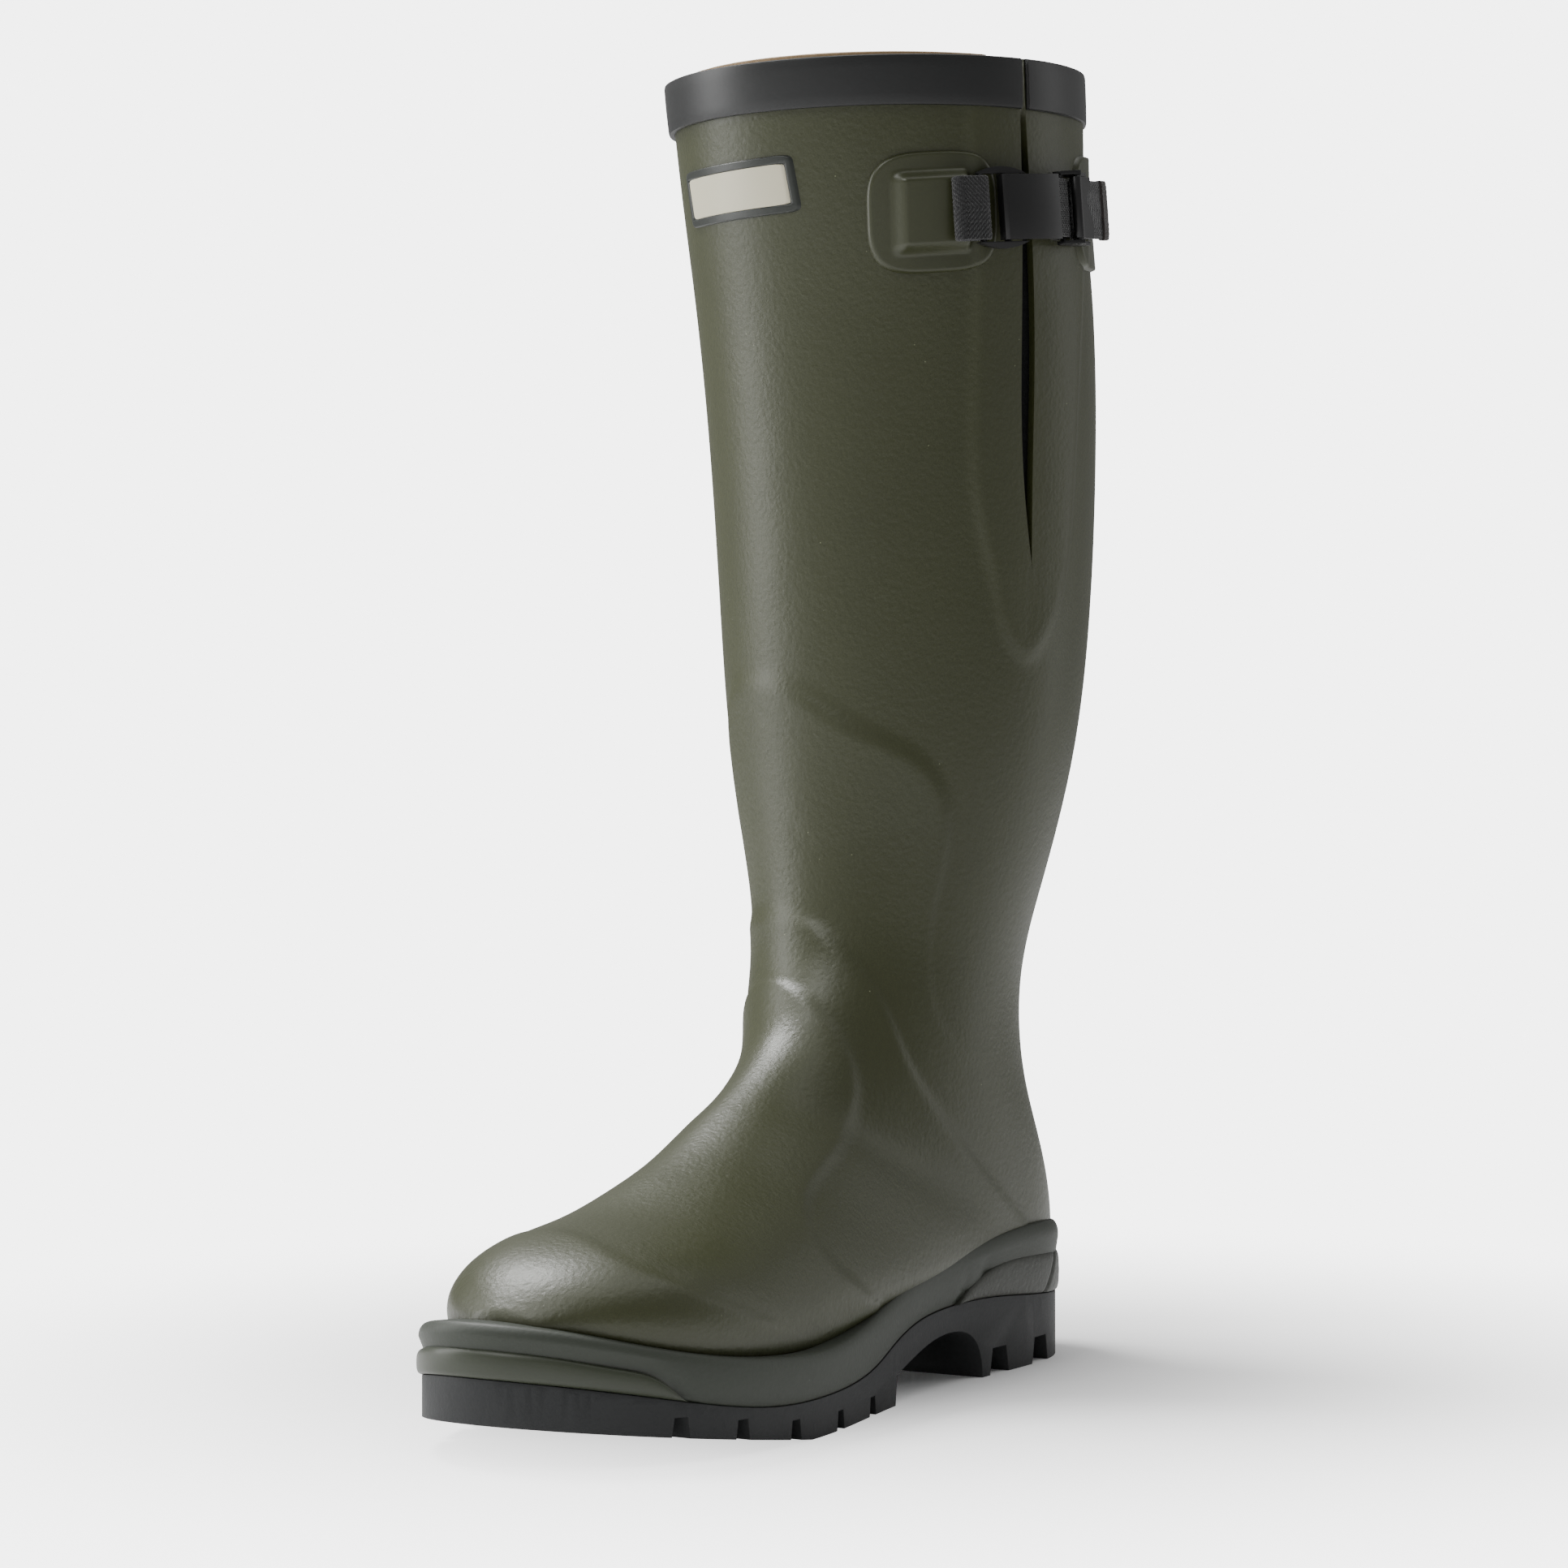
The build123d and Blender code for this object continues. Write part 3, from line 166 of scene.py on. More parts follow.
def pick(obj):
    """Make one object the only selected and active one."""
    deselect()
    obj.select_set(True)
    bpy.context.view_layer.objects.active = obj


def tidy_mesh(obj, merge=0.02, fill=False):
    """Merge doubles, close open ends where asked, and turn the faces outwards."""
    pick(obj)
    bpy.ops.object.mode_set(mode="EDIT")
    bpy.ops.mesh.select_all(action="SELECT")
    bpy.ops.mesh.remove_doubles(threshold=merge * MM)
    bpy.ops.mesh.dissolve_degenerate(threshold=0.002 * MM)
    if fill:
        bpy.ops.mesh.select_all(action="SELECT")
        bpy.ops.mesh.fill_holes(sides=0)
    bpy.ops.mesh.select_all(action="SELECT")
    bpy.ops.mesh.normals_make_consistent(inside=False)
    bpy.ops.object.mode_set(mode="OBJECT")


def smooth(obj, degrees=40):
    """Shade smooth, with hard edges over an angle."""
    pick(obj)
    bpy.ops.object.shade_smooth_by_angle(angle=math.radians(degrees))


def modify(obj, kind, **settings):
    """Add a modifier with its settings and apply it."""
    pick(obj)
    modifier = obj.modifiers.new(kind.title(), kind)
    for key, value in settings.items():
        setattr(modifier, key, value)
    bpy.ops.object.modifier_apply(modifier=modifier.name)


def lay(name, columns, rows, place, merge=0.02, fill=False, degrees=40):
    """A grid primitive laid onto place(u, v), u and v from 0 to 1, and tidied."""
    deselect()
    bpy.ops.mesh.primitive_grid_add(x_subdivisions=columns, y_subdivisions=rows, size=1)
    obj = bpy.context.object
    obj.name = obj.data.name = name
    count = len(obj.data.vertices)
    flat = np.empty(count * 3)
    obj.data.vertices.foreach_get("co", flat)
    start = flat.reshape(-1, 3)
    u = np.round((start[:, 0] + 0.5) * columns) / columns
    v = np.round((start[:, 1] + 0.5) * rows) / rows
    obj.data.vertices.foreach_set("co", (np.asarray(place(u, v)) * MM).ravel())
    obj.data.update()
    tidy_mesh(obj, merge, fill)
    smooth(obj, degrees)
    return obj


def done(obj, body, slot_name, material, *nodes):
    """Give a piece its material, its body and the CAD nodes that it stands for."""
    obj.data.materials.clear()
    obj.data.materials.append(material)
    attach(obj, body)
    if nodes:
        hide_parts(*nodes)
    return obj


def spline_weights(knots, at):
    """Weights of the points of a natural cubic spline at the given places."""
    count = len(knots)
    gap = np.diff(knots)
    left = np.zeros((count, count))
    right = np.zeros((count, count))
    left[0, 0] = left[-1, -1] = 1
    for i in range(1, count - 1):
        left[i, i - 1:i + 2] = gap[i - 1], 2 * (gap[i - 1] + gap[i]), gap[i]
        right[i, i - 1:i + 2] = 6 / gap[i - 1], -6 / gap[i - 1] - 6 / gap[i], 6 / gap[i]
    bend = np.linalg.solve(left, right)
    cell = np.clip(np.searchsorted(knots, at, side="right") - 1, 0, count - 2)
    b = (at - knots[cell]) / gap[cell]
    a = 1 - b
    weights = (a**3 - a)[:, None] * bend[cell] + (b**3 - b)[:, None] * bend[cell + 1]
    weights *= (gap[cell] ** 2 / 6)[:, None]
    rows = np.arange(len(at))
    weights[rows, cell] += a
    weights[rows, cell + 1] += b
    return weights


def curve_at(points, at):
    """Second column of a list of points, along a smooth curve, at places in the first column."""
    table = np.array(points, float)
    at = np.clip(np.atleast_1d(at), table[0, 0], table[-1, 0])
    return spline_weights(table[:, 0], at) @ table[:, 1]


def ramp(value, start, end):
    """Smooth step from 0 at start to 1 at end."""
    share = np.clip((value - start) / (end - start), 0, 1)
    return share * share * (3 - 2 * share)


# ---- the skin of the boot --------------------------------------------------

def section(station, phi, inset):
    """Points of one section: phi 0 is rear, a quarter turn is the outer side."""
    front_y, front_z, rear_y, rear_z, lateral, medial, front_power, rear_power, widest, nose = station
    run_y, run_z = rear_y - front_y, rear_z - front_z
    length = math.hypot(run_y, run_z)
    shrink = inset * max(math.sqrt(1 - nose**2), 0.25)
    across, along = np.sin(phi), np.cos(phi)
    rear = along > 0
    power = np.where(rear, rear_power, front_power)
    radius = (np.abs(across) ** power + np.abs(along) ** power) ** (-1 / power)
    reach = length * np.where(rear, 1 - widest, widest) - shrink
    width = np.where(across > 0, lateral, medial) - shrink
    place = along * radius * reach / length + widest
    x = across * radius * width
    return np.stack([x, front_y + place * run_y + inset * nose, front_z + place * run_z], 1)


def station_knots():
    """Mean distance along the boot of each section from the rim, in millimetres."""
    phi = np.linspace(0, 2 * np.pi, 48, endpoint=False)
    rings = [section(s, phi, 0) for s in STATIONS]
    steps = [np.linalg.norm(b - a, axis=1).mean() for a, b in zip(rings, rings[1:])]
    return np.concatenate([[0], np.cumsum(steps)])


KNOTS = station_knots()
BOOT_RUN = KNOTS[-1]


def skin(phi, along, inset=0.0):
    """Points of the boot's surface, drawn in by inset: along runs from the rim to the toe."""
    weights = spline_weights(KNOTS, along)
    points = np.zeros((len(phi), 3))
    for index, station in enumerate(STATIONS):
        points += weights[:, index:index + 1] * section(station, phi, inset)
    return points


def skin_normals(phi, along):
    """Outward unit normals of the boot's surface."""
    step_phi, step_along = 0.004, 0.4
    low, high = np.clip(along - step_along, -40, BOOT_RUN), np.clip(along + step_along, -40, BOOT_RUN)
    around = skin(phi + step_phi, along) - skin(phi - step_phi, along)
    down = skin(phi, high) - skin(phi, low)
    normal = np.cross(around, down)
    return normal / np.maximum(np.linalg.norm(normal, axis=1, keepdims=True), 1e-9)


def edge_angles(edge, along):
    """Angle at which the skin meets a slit edge, given as (z, y), for each place along the boot."""
    found = []
    phi = np.radians(np.arange(80, 135, 0.5))
    for place in along:
        line = skin(phi, np.full(len(phi), place))
        miss = line[:, 1] - curve_at(edge, line[:, 2])
        found.append(np.interp(0, -miss, phi))
    return np.array(found)


def slit_tables():
    """Angles of the slit's two edges along the boot, meeting at its bottom."""
    along = np.arange(-10.0, 190.0, 3.0)
    rear, front = edge_angles(SLIT_REAR, along), edge_angles(SLIT_FRONT, along)
    height = skin(rear, along)[:, 2]
    bottom = np.interp(-SLIT_BOTTOM, -height, along)
    closed = along >= bottom
    meet = np.interp(bottom, along, rear)
    rear[closed] = front[closed] = meet
    return along, rear, front, bottom


SLIT_ALONG, SLIT_REAR_PHI, SLIT_FRONT_PHI, SLIT_END = slit_tables()


def sweep_round(u, along, widen=0.0):
    """Angles from the slit's rear edge right round to its front edge, short by widen mm each side."""
    trim = widen / 63.0
    rear = np.interp(along, SLIT_ALONG, SLIT_REAR_PHI) - trim
    front = np.interp(along, SLIT_ALONG, SLIT_FRONT_PHI) + trim
    return rear - u * (2 * np.pi - (front - rear))


def step_along(edge, points, normals, width, fade):
    """Height of a soft step beside an edge, at each point: full just inside it, fading inwards."""
    table = np.array(edge, float)
    lengths = np.concatenate([[0], np.cumsum(np.linalg.norm(np.diff(table[:, :3], axis=0), axis=1))])
    at = np.arange(0, lengths[-1], 0.7)
    fine = spline_weights(lengths, at) @ table
    line, height = fine[:, :3], np.clip(fine[:, 3], 0, None)
    ahead = np.gradient(line, axis=0)
    result = np.zeros(len(points))
    low, high = line.min(0) - 3.5 * fade, line.max(0) + 3.5 * fade
    near = np.flatnonzero(((points > low) & (points < high)).all(1))
    for chunk in np.array_split(near, max(1, len(near) // 4000)):
        gaps = points[chunk, None, :] - line[None, :, :]
        distance = np.linalg.norm(gaps, axis=2)
        best = distance.argmin(1)
        rows = np.arange(len(chunk))
        inward = np.cross(ahead[best], normals[chunk])
        side = np.sign((gaps[rows, best] * inward).sum(1))
        signed = side * distance[rows, best]
        rise = ramp(signed, -width, width) * np.exp(-np.maximum(signed, 0) / fade)
        result[chunk] = height[best] * rise
    return result


# ---- places on the strap ---------------------------------------------------

def turn(axis, degrees):
    """Rotation matrix about x or z."""
    c, s = math.cos(math.radians(degrees)), math.sin(math.radians(degrees))
    return np.array([[1, 0, 0], [0, c, -s], [0, s, c]] if axis == "x" else [[c, -s, 0], [s, c, 0], [0, 0, 1]])


def strap_axes(angle):
    """Origin and the rearward, upward and outward directions at an angle round the strap."""
    turned = turn("z", STRAP_REFERENCE) @ turn("x", STRAP_TILT) @ turn("z", angle - STRAP_REFERENCE)
    outward, rearward, upward = turned[:, 0], turned[:, 1], turned[:, 2]
    return STRAP_HUB + outward * STRAP_RADIUS, rearward, upward, outward


def on_strap(angle, rearward, upward, outward):
    """Points given in the strap's own directions at an angle."""
    origin, rear_axis, up_axis, out_axis = strap_axes(angle)
    return (origin + np.outer(rearward, rear_axis) + np.outer(upward, up_axis) + np.outer(outward, out_axis))


# ---- materials -------------------------------------------------------------

def add_node(tree, kind, links=(), **settings):
    """Add a node, set its settings or inputs by name (From_Min is From Min), and link (input, node, output)."""
    node = tree.nodes.new(kind)
    for key, value in settings.items():
        if hasattr(node, key):
            setattr(node, key, value)
        else:
            node.inputs[key.replace("_", " ")].default_value = value
    for target, source, output in links:
        tree.links.new(source.outputs[output], node.inputs[target])
    return node


def new_material(name):
    """An empty node material with its shader and Object coordinates."""
    material = bpy.data.materials.new(name)
    material.use_nodes = True
    tree = material.node_tree
    tree.nodes.clear()
    shader = add_node(tree, "ShaderNodeBsdfPrincipled")
    add_node(tree, "ShaderNodeOutputMaterial", [("Surface", shader, "BSDF")])
    where = add_node(tree, "ShaderNodeTexCoord")
    return material, tree, shader, where


MOTTLE_SIZE = 45.0    # soft variation of tone over a moulded surface
SPECK_SPACING = 9.0    # between pale specks
WAVE_LENGTH = 24.0    # slow unevenness of a hand-laid rubber sheet


def moulded(name, colour, roughness, grain, depth, mottle=0.12, specks=0.0, specular=0.5, wave=0.0):
    """A moulded rubber or plastic: grain in mm, relief depth in mm, tone variation and pale dust."""
    material, tree, shader, where = new_material(name)
    shader.inputs["Roughness"].default_value = roughness
    shader.inputs["Specular IOR Level"].default_value = specular
    at = [("Vector", where, "Object")]
    cloud = add_node(tree, "ShaderNodeTexNoise", at, Scale=1 / (MOTTLE_SIZE * MM), Detail=4.0)
    fine = add_node(tree, "ShaderNodeTexNoise", at, Scale=1 / (grain * MM), Detail=2.0, Roughness=0.55)
    cells = add_node(tree, "ShaderNodeTexVoronoi", at, Scale=1 / (1.6 * grain * MM), feature="SMOOTH_F1")
    dark = tuple(c * (1 - mottle) for c in colour) + (1,)
    light = tuple(min(1, c * (1 + mottle)) for c in colour) + (1,)
    tone = add_node(tree, "ShaderNodeMix", [(0, cloud, "Fac")], data_type="RGBA")
    tone.inputs[6].default_value, tone.inputs[7].default_value = dark, light
    last = tone
    if specks:
        # Pale specks painted into the colour, small dots about 9 mm apart.
        speck_cells = add_node(tree, "ShaderNodeTexVoronoi", at, Scale=1 / (SPECK_SPACING * MM))
        cut = add_node(tree, "ShaderNodeMapRange", [("Value", speck_cells, "Distance")], From_Min=0.03, From_Max=0.015,
                       To_Max=specks)
        last = add_node(tree, "ShaderNodeMix", [(0, cut, "Result"), (6, tone, 2)], data_type="RGBA")
        last.inputs[7].default_value = tuple(min(1, c * 4 + 0.1) for c in colour) + (1,)
    tree.links.new(last.outputs[2], shader.inputs["Base Color"])
    height = add_node(tree, "ShaderNodeMath", [(0, fine, "Fac"), (1, cells, "Distance")], operation="ADD")
    bump = add_node(tree, "ShaderNodeBump", [("Height", height, "Value")], Distance=depth * MM)
    if wave:
        swell = add_node(tree, "ShaderNodeTexNoise", at, Scale=1 / (WAVE_LENGTH * MM), Detail=1.0)
        bump = add_node(tree, "ShaderNodeBump", [("Height", swell, "Fac"), ("Normal", bump, "Normal")],
                        Distance=wave * MM)
    tree.links.new(bump.outputs["Normal"], shader.inputs["Normal"])
    return material


def woven(name, colour, thread, along, across, roughness=0.75):
    """Woven webbing on the piece's own UV map: over-and-under threads, thread in mm, sides in mm."""
    material, tree, shader, where = new_material(name)
    shader.inputs["Roughness"].default_value = roughness
    shader.inputs["Sheen Weight"].default_value = 0.25
    shader.inputs["Sheen Roughness"].default_value = 0.5
    size = add_node(tree, "ShaderNodeMapping", [("Vector", where, "UV")],
                    Scale=(along / thread, across / thread, 1))
    check = add_node(tree, "ShaderNodeTexVoronoi", [("Vector", size, "Vector")], Scale=1.0, Randomness=0.15,
                     voronoi_dimensions="2D")
    fuzz = add_node(tree, "ShaderNodeTexNoise", [("Vector", where, "Object")], Scale=1 / (0.5 * MM))
    tone = add_node(tree, "ShaderNodeMapRange", [("Value", check, "Distance")], From_Max=0.7)
    # Painted highlight and painted shade: each thread is lighter at its crown and darker towards its edges.
    thread_highlight_and_shade = add_node(tree, "ShaderNodeMix", [(0, tone, "Result")], data_type="RGBA")
    thread_highlight_and_shade.inputs[6].default_value = tuple(min(1, c * 2.2 + 0.004) for c in colour) + (1,)
    thread_highlight_and_shade.inputs[7].default_value = tuple(c * 0.35 for c in colour) + (1,)
    tree.links.new(thread_highlight_and_shade.outputs[2], shader.inputs["Base Color"])
    drop = add_node(tree, "ShaderNodeMath", [(0, tone, "Result"), (1, fuzz, "Fac")], operation="SUBTRACT")
    bump = add_node(tree, "ShaderNodeBump", [("Height", drop, "Value")], invert=True, Distance=0.25 * MM)
    tree.links.new(bump.outputs["Normal"], shader.inputs["Normal"])
    return material


MATERIALS = {}


def finish_of(key):
    """The shared material for a finish, made once."""
    if key in MATERIALS:
        return MATERIALS[key]
    c = bpy.context.scene.boot_colours
    makers = {
        # Vulcanised natural rubber, calendered with a fine leather grain: soft broad highlights.
        "upper": lambda: moulded("Vulcanised rubber, olive", c.upper, 0.42, 1.1, 0.085, 0.1, 0.6, 0.5, 0.25),
        # The same sheet without much grain, on glued patches: smoother highlights.
        "patch": lambda: moulded("Vulcanised rubber, smooth olive", c.patch, 0.36, 0.8, 0.012, 0.08, 0.5),
        # Extruded rubber tape, black and satin.
        "trim": lambda: moulded("Extruded rubber tape, black", c.trim, 0.42, 0.8, 0.012, 0.15, 0.4),
        # Moulded foxing rubber with a fine stipple.
        "rand": lambda: moulded("Moulded foxing rubber", c.rand, 0.55, 0.9, 0.05, 0.12, 0.3),
        # The heel's texture is a coarse sparkling stipple.
        "panel": lambda: moulded("Moulded rubber, coarse stipple", c.panel, 0.5, 1.0, 0.13, 0.15, 0.3),
        # The bumper's mould is polished: a clear soft highlight along its top.
        "bumper": lambda: moulded("Moulded rubber, smooth", c.bumper, 0.42, 0.8, 0.012, 0.1, 0.3),
        # Carbon-black tread rubber, spark-eroded mould: dull and finely grained.
        "tread": lambda: moulded("Tread rubber, carbon black", c.tread, 0.62, 0.7, 0.05, 0.15, 0.3),
        # Stamped steel under a satin lacquer: near black, with one broad even highlight.
        "metal": lambda: moulded("Blackened steel, satin lacquer", c.metal, 0.33, 1.5, 0.004, 0.1),
        # Press-moulded rubber label: flat, even colour.
        "badge": lambda: moulded("Moulded rubber, ivory", c.badge, 0.4, 1.0, 0.01, 0.03),
        "badge_rim": lambda: moulded("Moulded rubber, badge rim", c.badge_rim, 0.4, 1.0, 0.01, 0.05),
        # Neoprene faced with brushed jersey: soft and dull, fine knit.
        "neoprene": lambda: moulded("Neoprene with jersey face", c.neoprene, 0.9, 0.7, 0.12, 0.2),
        # Woven cotton tape: dry, without a highlight.
        "facing": lambda: moulded("Woven tape, tan", c.facing, 0.85, 0.6, 0.1, 0.2),
        # Pressed foam: small open bubbles and a dull face.
        "foam": lambda: moulded("Closed-cell foam", c.foam, 0.8, 0.5, 0.05, 0.15),
        # Pressed fibre sheet: dry and blotchy.
        "board": lambda: moulded("Pressed fibreboard", c.board, 0.85, 0.6, 0.03, 0.2),
        # Rolled steel strip: grey, with a soft sheen.
        "steel": lambda: moulded("Tempered spring steel", (0.5, 0.5, 0.52), 0.35, 1.0, 0.003, 0.1),
        # Woven polypropylene: threads that catch the light one by one, as a painted highlight on each thread's
        # crown and painted shade between the threads.
        "twill": lambda: woven("Herringbone webbing, black", c.webbing, 0.9, 50, 20),
        # Threads drawn coarser than life, so that the pebbles show.
        "coarse": lambda: woven("Coarse webbing, black", c.webbing, 1.5, 50, 18.6),
        "hem": lambda: woven("Folded webbing hem", c.hem, 0.9, 12, 18.6),
    }
    MATERIALS[key] = makers[key]()
    return MATERIALS[key]


# ---- sizes and colours that a user would change ----------------------------

def colour_field(label, code):
    """A colour property from its sRGB hex code."""
    return FloatVectorProperty(name=label, description=label + ", linear", subtype="COLOR", size=3,
                               min=0, max=1, default=linear(code))


class BootColours(bpy.types.PropertyGroup):
    """Colours of the boot's materials."""

    upper: colour_field("Upper rubber", "33361d")
    patch: colour_field("Anchor patches", "31341d")
    trim: colour_field("Collar tape", "171818")
    rand: colour_field("Rand", "2e332a")
    panel: colour_field("Heel panels", "2b2e25")
    bumper: colour_field("Toe bumper", "2f3426")
    tread: colour_field("Tread", "191b1c")
    metal: colour_field("Buckle", "0d0d0e")
    badge: colour_field("Badge field", "c9c4ac")
    badge_rim: colour_field("Badge rim", "20241f")
    neoprene: colour_field("Neoprene", "17181a")
    facing: colour_field("Facing tape", "8a7355")
    foam: colour_field("Foam", "33363a")
    board: colour_field("Fibreboard", "8d7656")
    webbing: colour_field("Webbing", "0b0b0c")
    hem: colour_field("Strap hem", "241c19")


class BootSizes(bpy.types.PropertyGroup):
    """Sizes of the boot's details, in metres."""

    collar_height: FloatProperty(name="Collar height", description="Height of the collar tape",
                                 subtype="DISTANCE", unit="LENGTH", default=16 * MM)
    collar_thickness: FloatProperty(name="Collar thickness", description="Thickness of the collar tape",
                                    subtype="DISTANCE", unit="LENGTH", default=1.9 * MM)
    wall: FloatProperty(name="Wall", description="Thickness of the rubber at the slit",
                        subtype="DISTANCE", unit="LENGTH", default=2.5 * MM)
    step_scale: FloatProperty(name="Skin steps", description="Height of the moulded steps against the usual",
                              default=1.25, min=0, max=2)
    webbing_thickness: FloatProperty(name="Webbing thickness", description="Thickness of the strap webbing",
                                     subtype="DISTANCE", unit="LENGTH", default=1.1 * MM)


# ---- upper -----------------------------------------------------------------

UPPER_COLUMNS = 290
UPPER_ROWS = 292


def relief(points, normals, scale):
    """Outward relief of the upper at each point, in millimetres."""
    rise = step_along(SHIN_EDGE, points, normals, 1.8, 20)
    rise += step_along(ANKLE_EDGE, points, normals, 1.8, 18)
    rise += step_along(INSTEP_EDGE, points, normals, 2.0, 18)
    rise += step_along(TOE_EDGE, points, normals, 2.4, 16)
    rise += 1.2 * step_along(GUSSET_EDGE, points, normals, 1.7, 16)
    return rise * scale


def place_upper(u, v):
    """Outer face of the upper, with its edges turned in at the rim and the slit."""
    sizes = bpy.context.scene.boot_sizes
    column = np.round(u * UPPER_COLUMNS)
    row = np.round(v * UPPER_ROWS)
    inner_u = np.clip((column - 2) / (UPPER_COLUMNS - 4), 0, 1)
    inner_v = np.clip((row - 2) / (UPPER_ROWS - 3), 0, 1)
    along = inner_v * BOOT_RUN
    phi = sweep_round(inner_u, along)
    points = skin(phi, along)
    normals = skin_normals(phi, along)
    field = np.zeros((UPPER_ROWS + 1, UPPER_COLUMNS + 1))
    cell = row.astype(int), column.astype(int)
    field[cell] = relief(points, normals, sizes.step_scale)
    for _ in range(2):
        wide = np.pad(field, 1, mode="edge")
        field = (wide[:-2, 1:-1] + wide[2:, 1:-1] + wide[1:-1, :-2] + wide[1:-1, 2:] + 2 * field) / 6
    rise = field[cell]
    at_slit = np.where(along < SLIT_END - 1, 1.0, 0.0)
    to_edge = np.minimum(column, UPPER_COLUMNS - column)
    wall = sizes.wall / MM
    depth = np.select([to_edge == 0, to_edge == 1], [wall, 0.35], 0.0) * at_slit
    depth = np.maximum(depth, np.select([row == 0, row == 1], [wall, 0.35], 0.0))
    points += normals * (rise - depth)[:, None]
    tip = row == UPPER_ROWS
    points[tip] = (2.0, -232.2, 38.8)
    return points


def make_upper():
    """Leg and foot in one rubber skin with its moulded steps."""
    upper = lay("upper", UPPER_COLUMNS, UPPER_ROWS, place_upper, merge=0.05, degrees=50)
    done(upper, "boot", "upper_rubber", finish_of("upper"),
         "upper_shell", "toe_cap", "instep_overlay", "shin_overlay", "ankle_overlay", "gusset_surround")
    return upper


def surface_tree():
    """Tree of the upper's faces, for laying things on it."""
    upper = bpy.data.objects["upper"]
    points = [v.co / MM for v in upper.data.vertices]
    faces = [tuple(p.vertices) for p in upper.data.polygons]
    return BVHTree.FromPolygons(points, faces)


# ---- collar, lining, gusset and footbed ------------------------------------

# Section of the collar tape: share of its height down from the rim, and share of its thickness outwards.
COLLAR_SECTION = [
    (1.0, 0.0), (1.0, 0.55), (0.985, 0.9), (0.94, 1.0), (0.75, 1.04), (0.5, 1.06), (0.25, 1.04), (0.06, 1.0),
    (0.015, 0.9), (0.0, 0.55), (0.0, 0.0), (0.3, -0.02), (0.7, -0.02),
]


def place_collar(u, v):
    """Closed section swept round the rim from one edge of the slit to the other."""
    sizes = bpy.context.scene.boot_sizes
    count = len(COLLAR_SECTION)
    index = np.round(v * count).astype(int) % count
    down = np.array([p[0] for p in COLLAR_SECTION])[index] * sizes.collar_height / MM
    out = 0.1 + np.array([p[1] for p in COLLAR_SECTION])[index] * sizes.collar_thickness / MM
    phi = sweep_round(u, down, 0.3)
    return skin(phi, down) + skin_normals(phi, down) * out[:, None]


LINING_INSET = 7.0        # its inner face, from the outside of the boot
LINING_THICKNESS = 4.2
LINING_CLEARANCE = 9.0    # from each edge of the slit


def place_lining(u, v):
    """Inner face of the neoprene, left open behind the slit."""
    along = 1.0 + v * (BOOT_RUN - 7.0)
    gap = LINING_CLEARANCE * (1 - ramp(along, SLIT_END + 2, SLIT_END + 12))
    rear = np.interp(along, SLIT_ALONG, SLIT_REAR_PHI)
    front = np.interp(along, SLIT_ALONG, SLIT_FRONT_PHI)
    phi = rear - gap / 55 - u * (2 * np.pi - (front - rear) - 2 * gap / 55)
    return skin(phi, along, LINING_INSET)


def make_collar():
    """Collar tape round the rim."""
    collar = lay("collar", 300, len(COLLAR_SECTION), place_collar, fill=True, degrees=45)
    done(collar, "boot", "trim_rubber", finish_of("trim"), "collar_band")


FACING_SECTION = [(22, 7.1), (21.4, 7.7), (12, 7.75), (4, 7.7), (0.5, 7.6), (-0.8, 6.6), (-1.0, 4.8),
                  (-0.7, 3.0), (0.1, 2.7), (0.3, 4.8), (0.8, 6.6), (3, 7.1), (12, 7.1)]


def place_facing(u, v):
    """Tape folded over the top of the lining."""
    count = len(FACING_SECTION)
    index = np.round(v * count).astype(int) % count
    down, inset = np.array(FACING_SECTION, float)[index].T
    rear = np.interp(down, SLIT_ALONG, SLIT_REAR_PHI)
    front = np.interp(down, SLIT_ALONG, SLIT_FRONT_PHI)
    gap = 9.2 / 57
    phi = rear - gap - u * (2 * np.pi - (front - rear) - 2 * gap)
    return skin(phi, down) - skin_normals(phi, down) * inset[:, None]


def place_bellows(u, v):
    """A web folded inwards behind the slit."""
    along = SLIT_END + 8 - v * (SLIT_END - 8)
    middle = (np.interp(along, SLIT_ALONG, SLIT_REAR_PHI) + np.interp(along, SLIT_ALONG, SLIT_FRONT_PHI)) / 2
    across = (u - 0.5) * 2
    fold = 9.0 * (0.25 + 0.75 * v) * (1 - ramp(np.abs(across), 0.0, 0.5))
    ripple = 0.4 * np.sin(v * 19) * (1 - np.abs(across))
    phi = middle - (across * 10.5 + ripple) / 62
    return skin(phi, along) - skin_normals(phi, along) * (3.9 + fold)[:, None]


def place_footbed(u, v):
    """Closed pad: from the middle of the top out over the rounded edge and under."""
    sample = outline(u, -9.5)
    ring = np.clip(v * 2, 0, 1) ** 0.8
    under = np.clip(v * 2 - 1, 0, 1)
    middle = np.array([1.0, -88.0])
    reach = np.where(v <= 0.5, ring, 1 - under)
    flat = middle + (sample - middle) * reach[:, None] * 0.985
    top = curve_at(FOOTBED_TOP, flat[:, 1]) + 2.2 * ramp(reach, 0.72, 1.0)
    floor_line = top - 4.6 * (1 - 0.25 * ramp(reach, 0.8, 1))
    edge = np.clip(1 - np.abs(v - 0.5) / 0.06, 0, 1)
    height = np.where(v <= 0.5, top, floor_line)
    height = height * (1 - edge) + (top - 2.3) * edge
    return np.column_stack([flat, height])


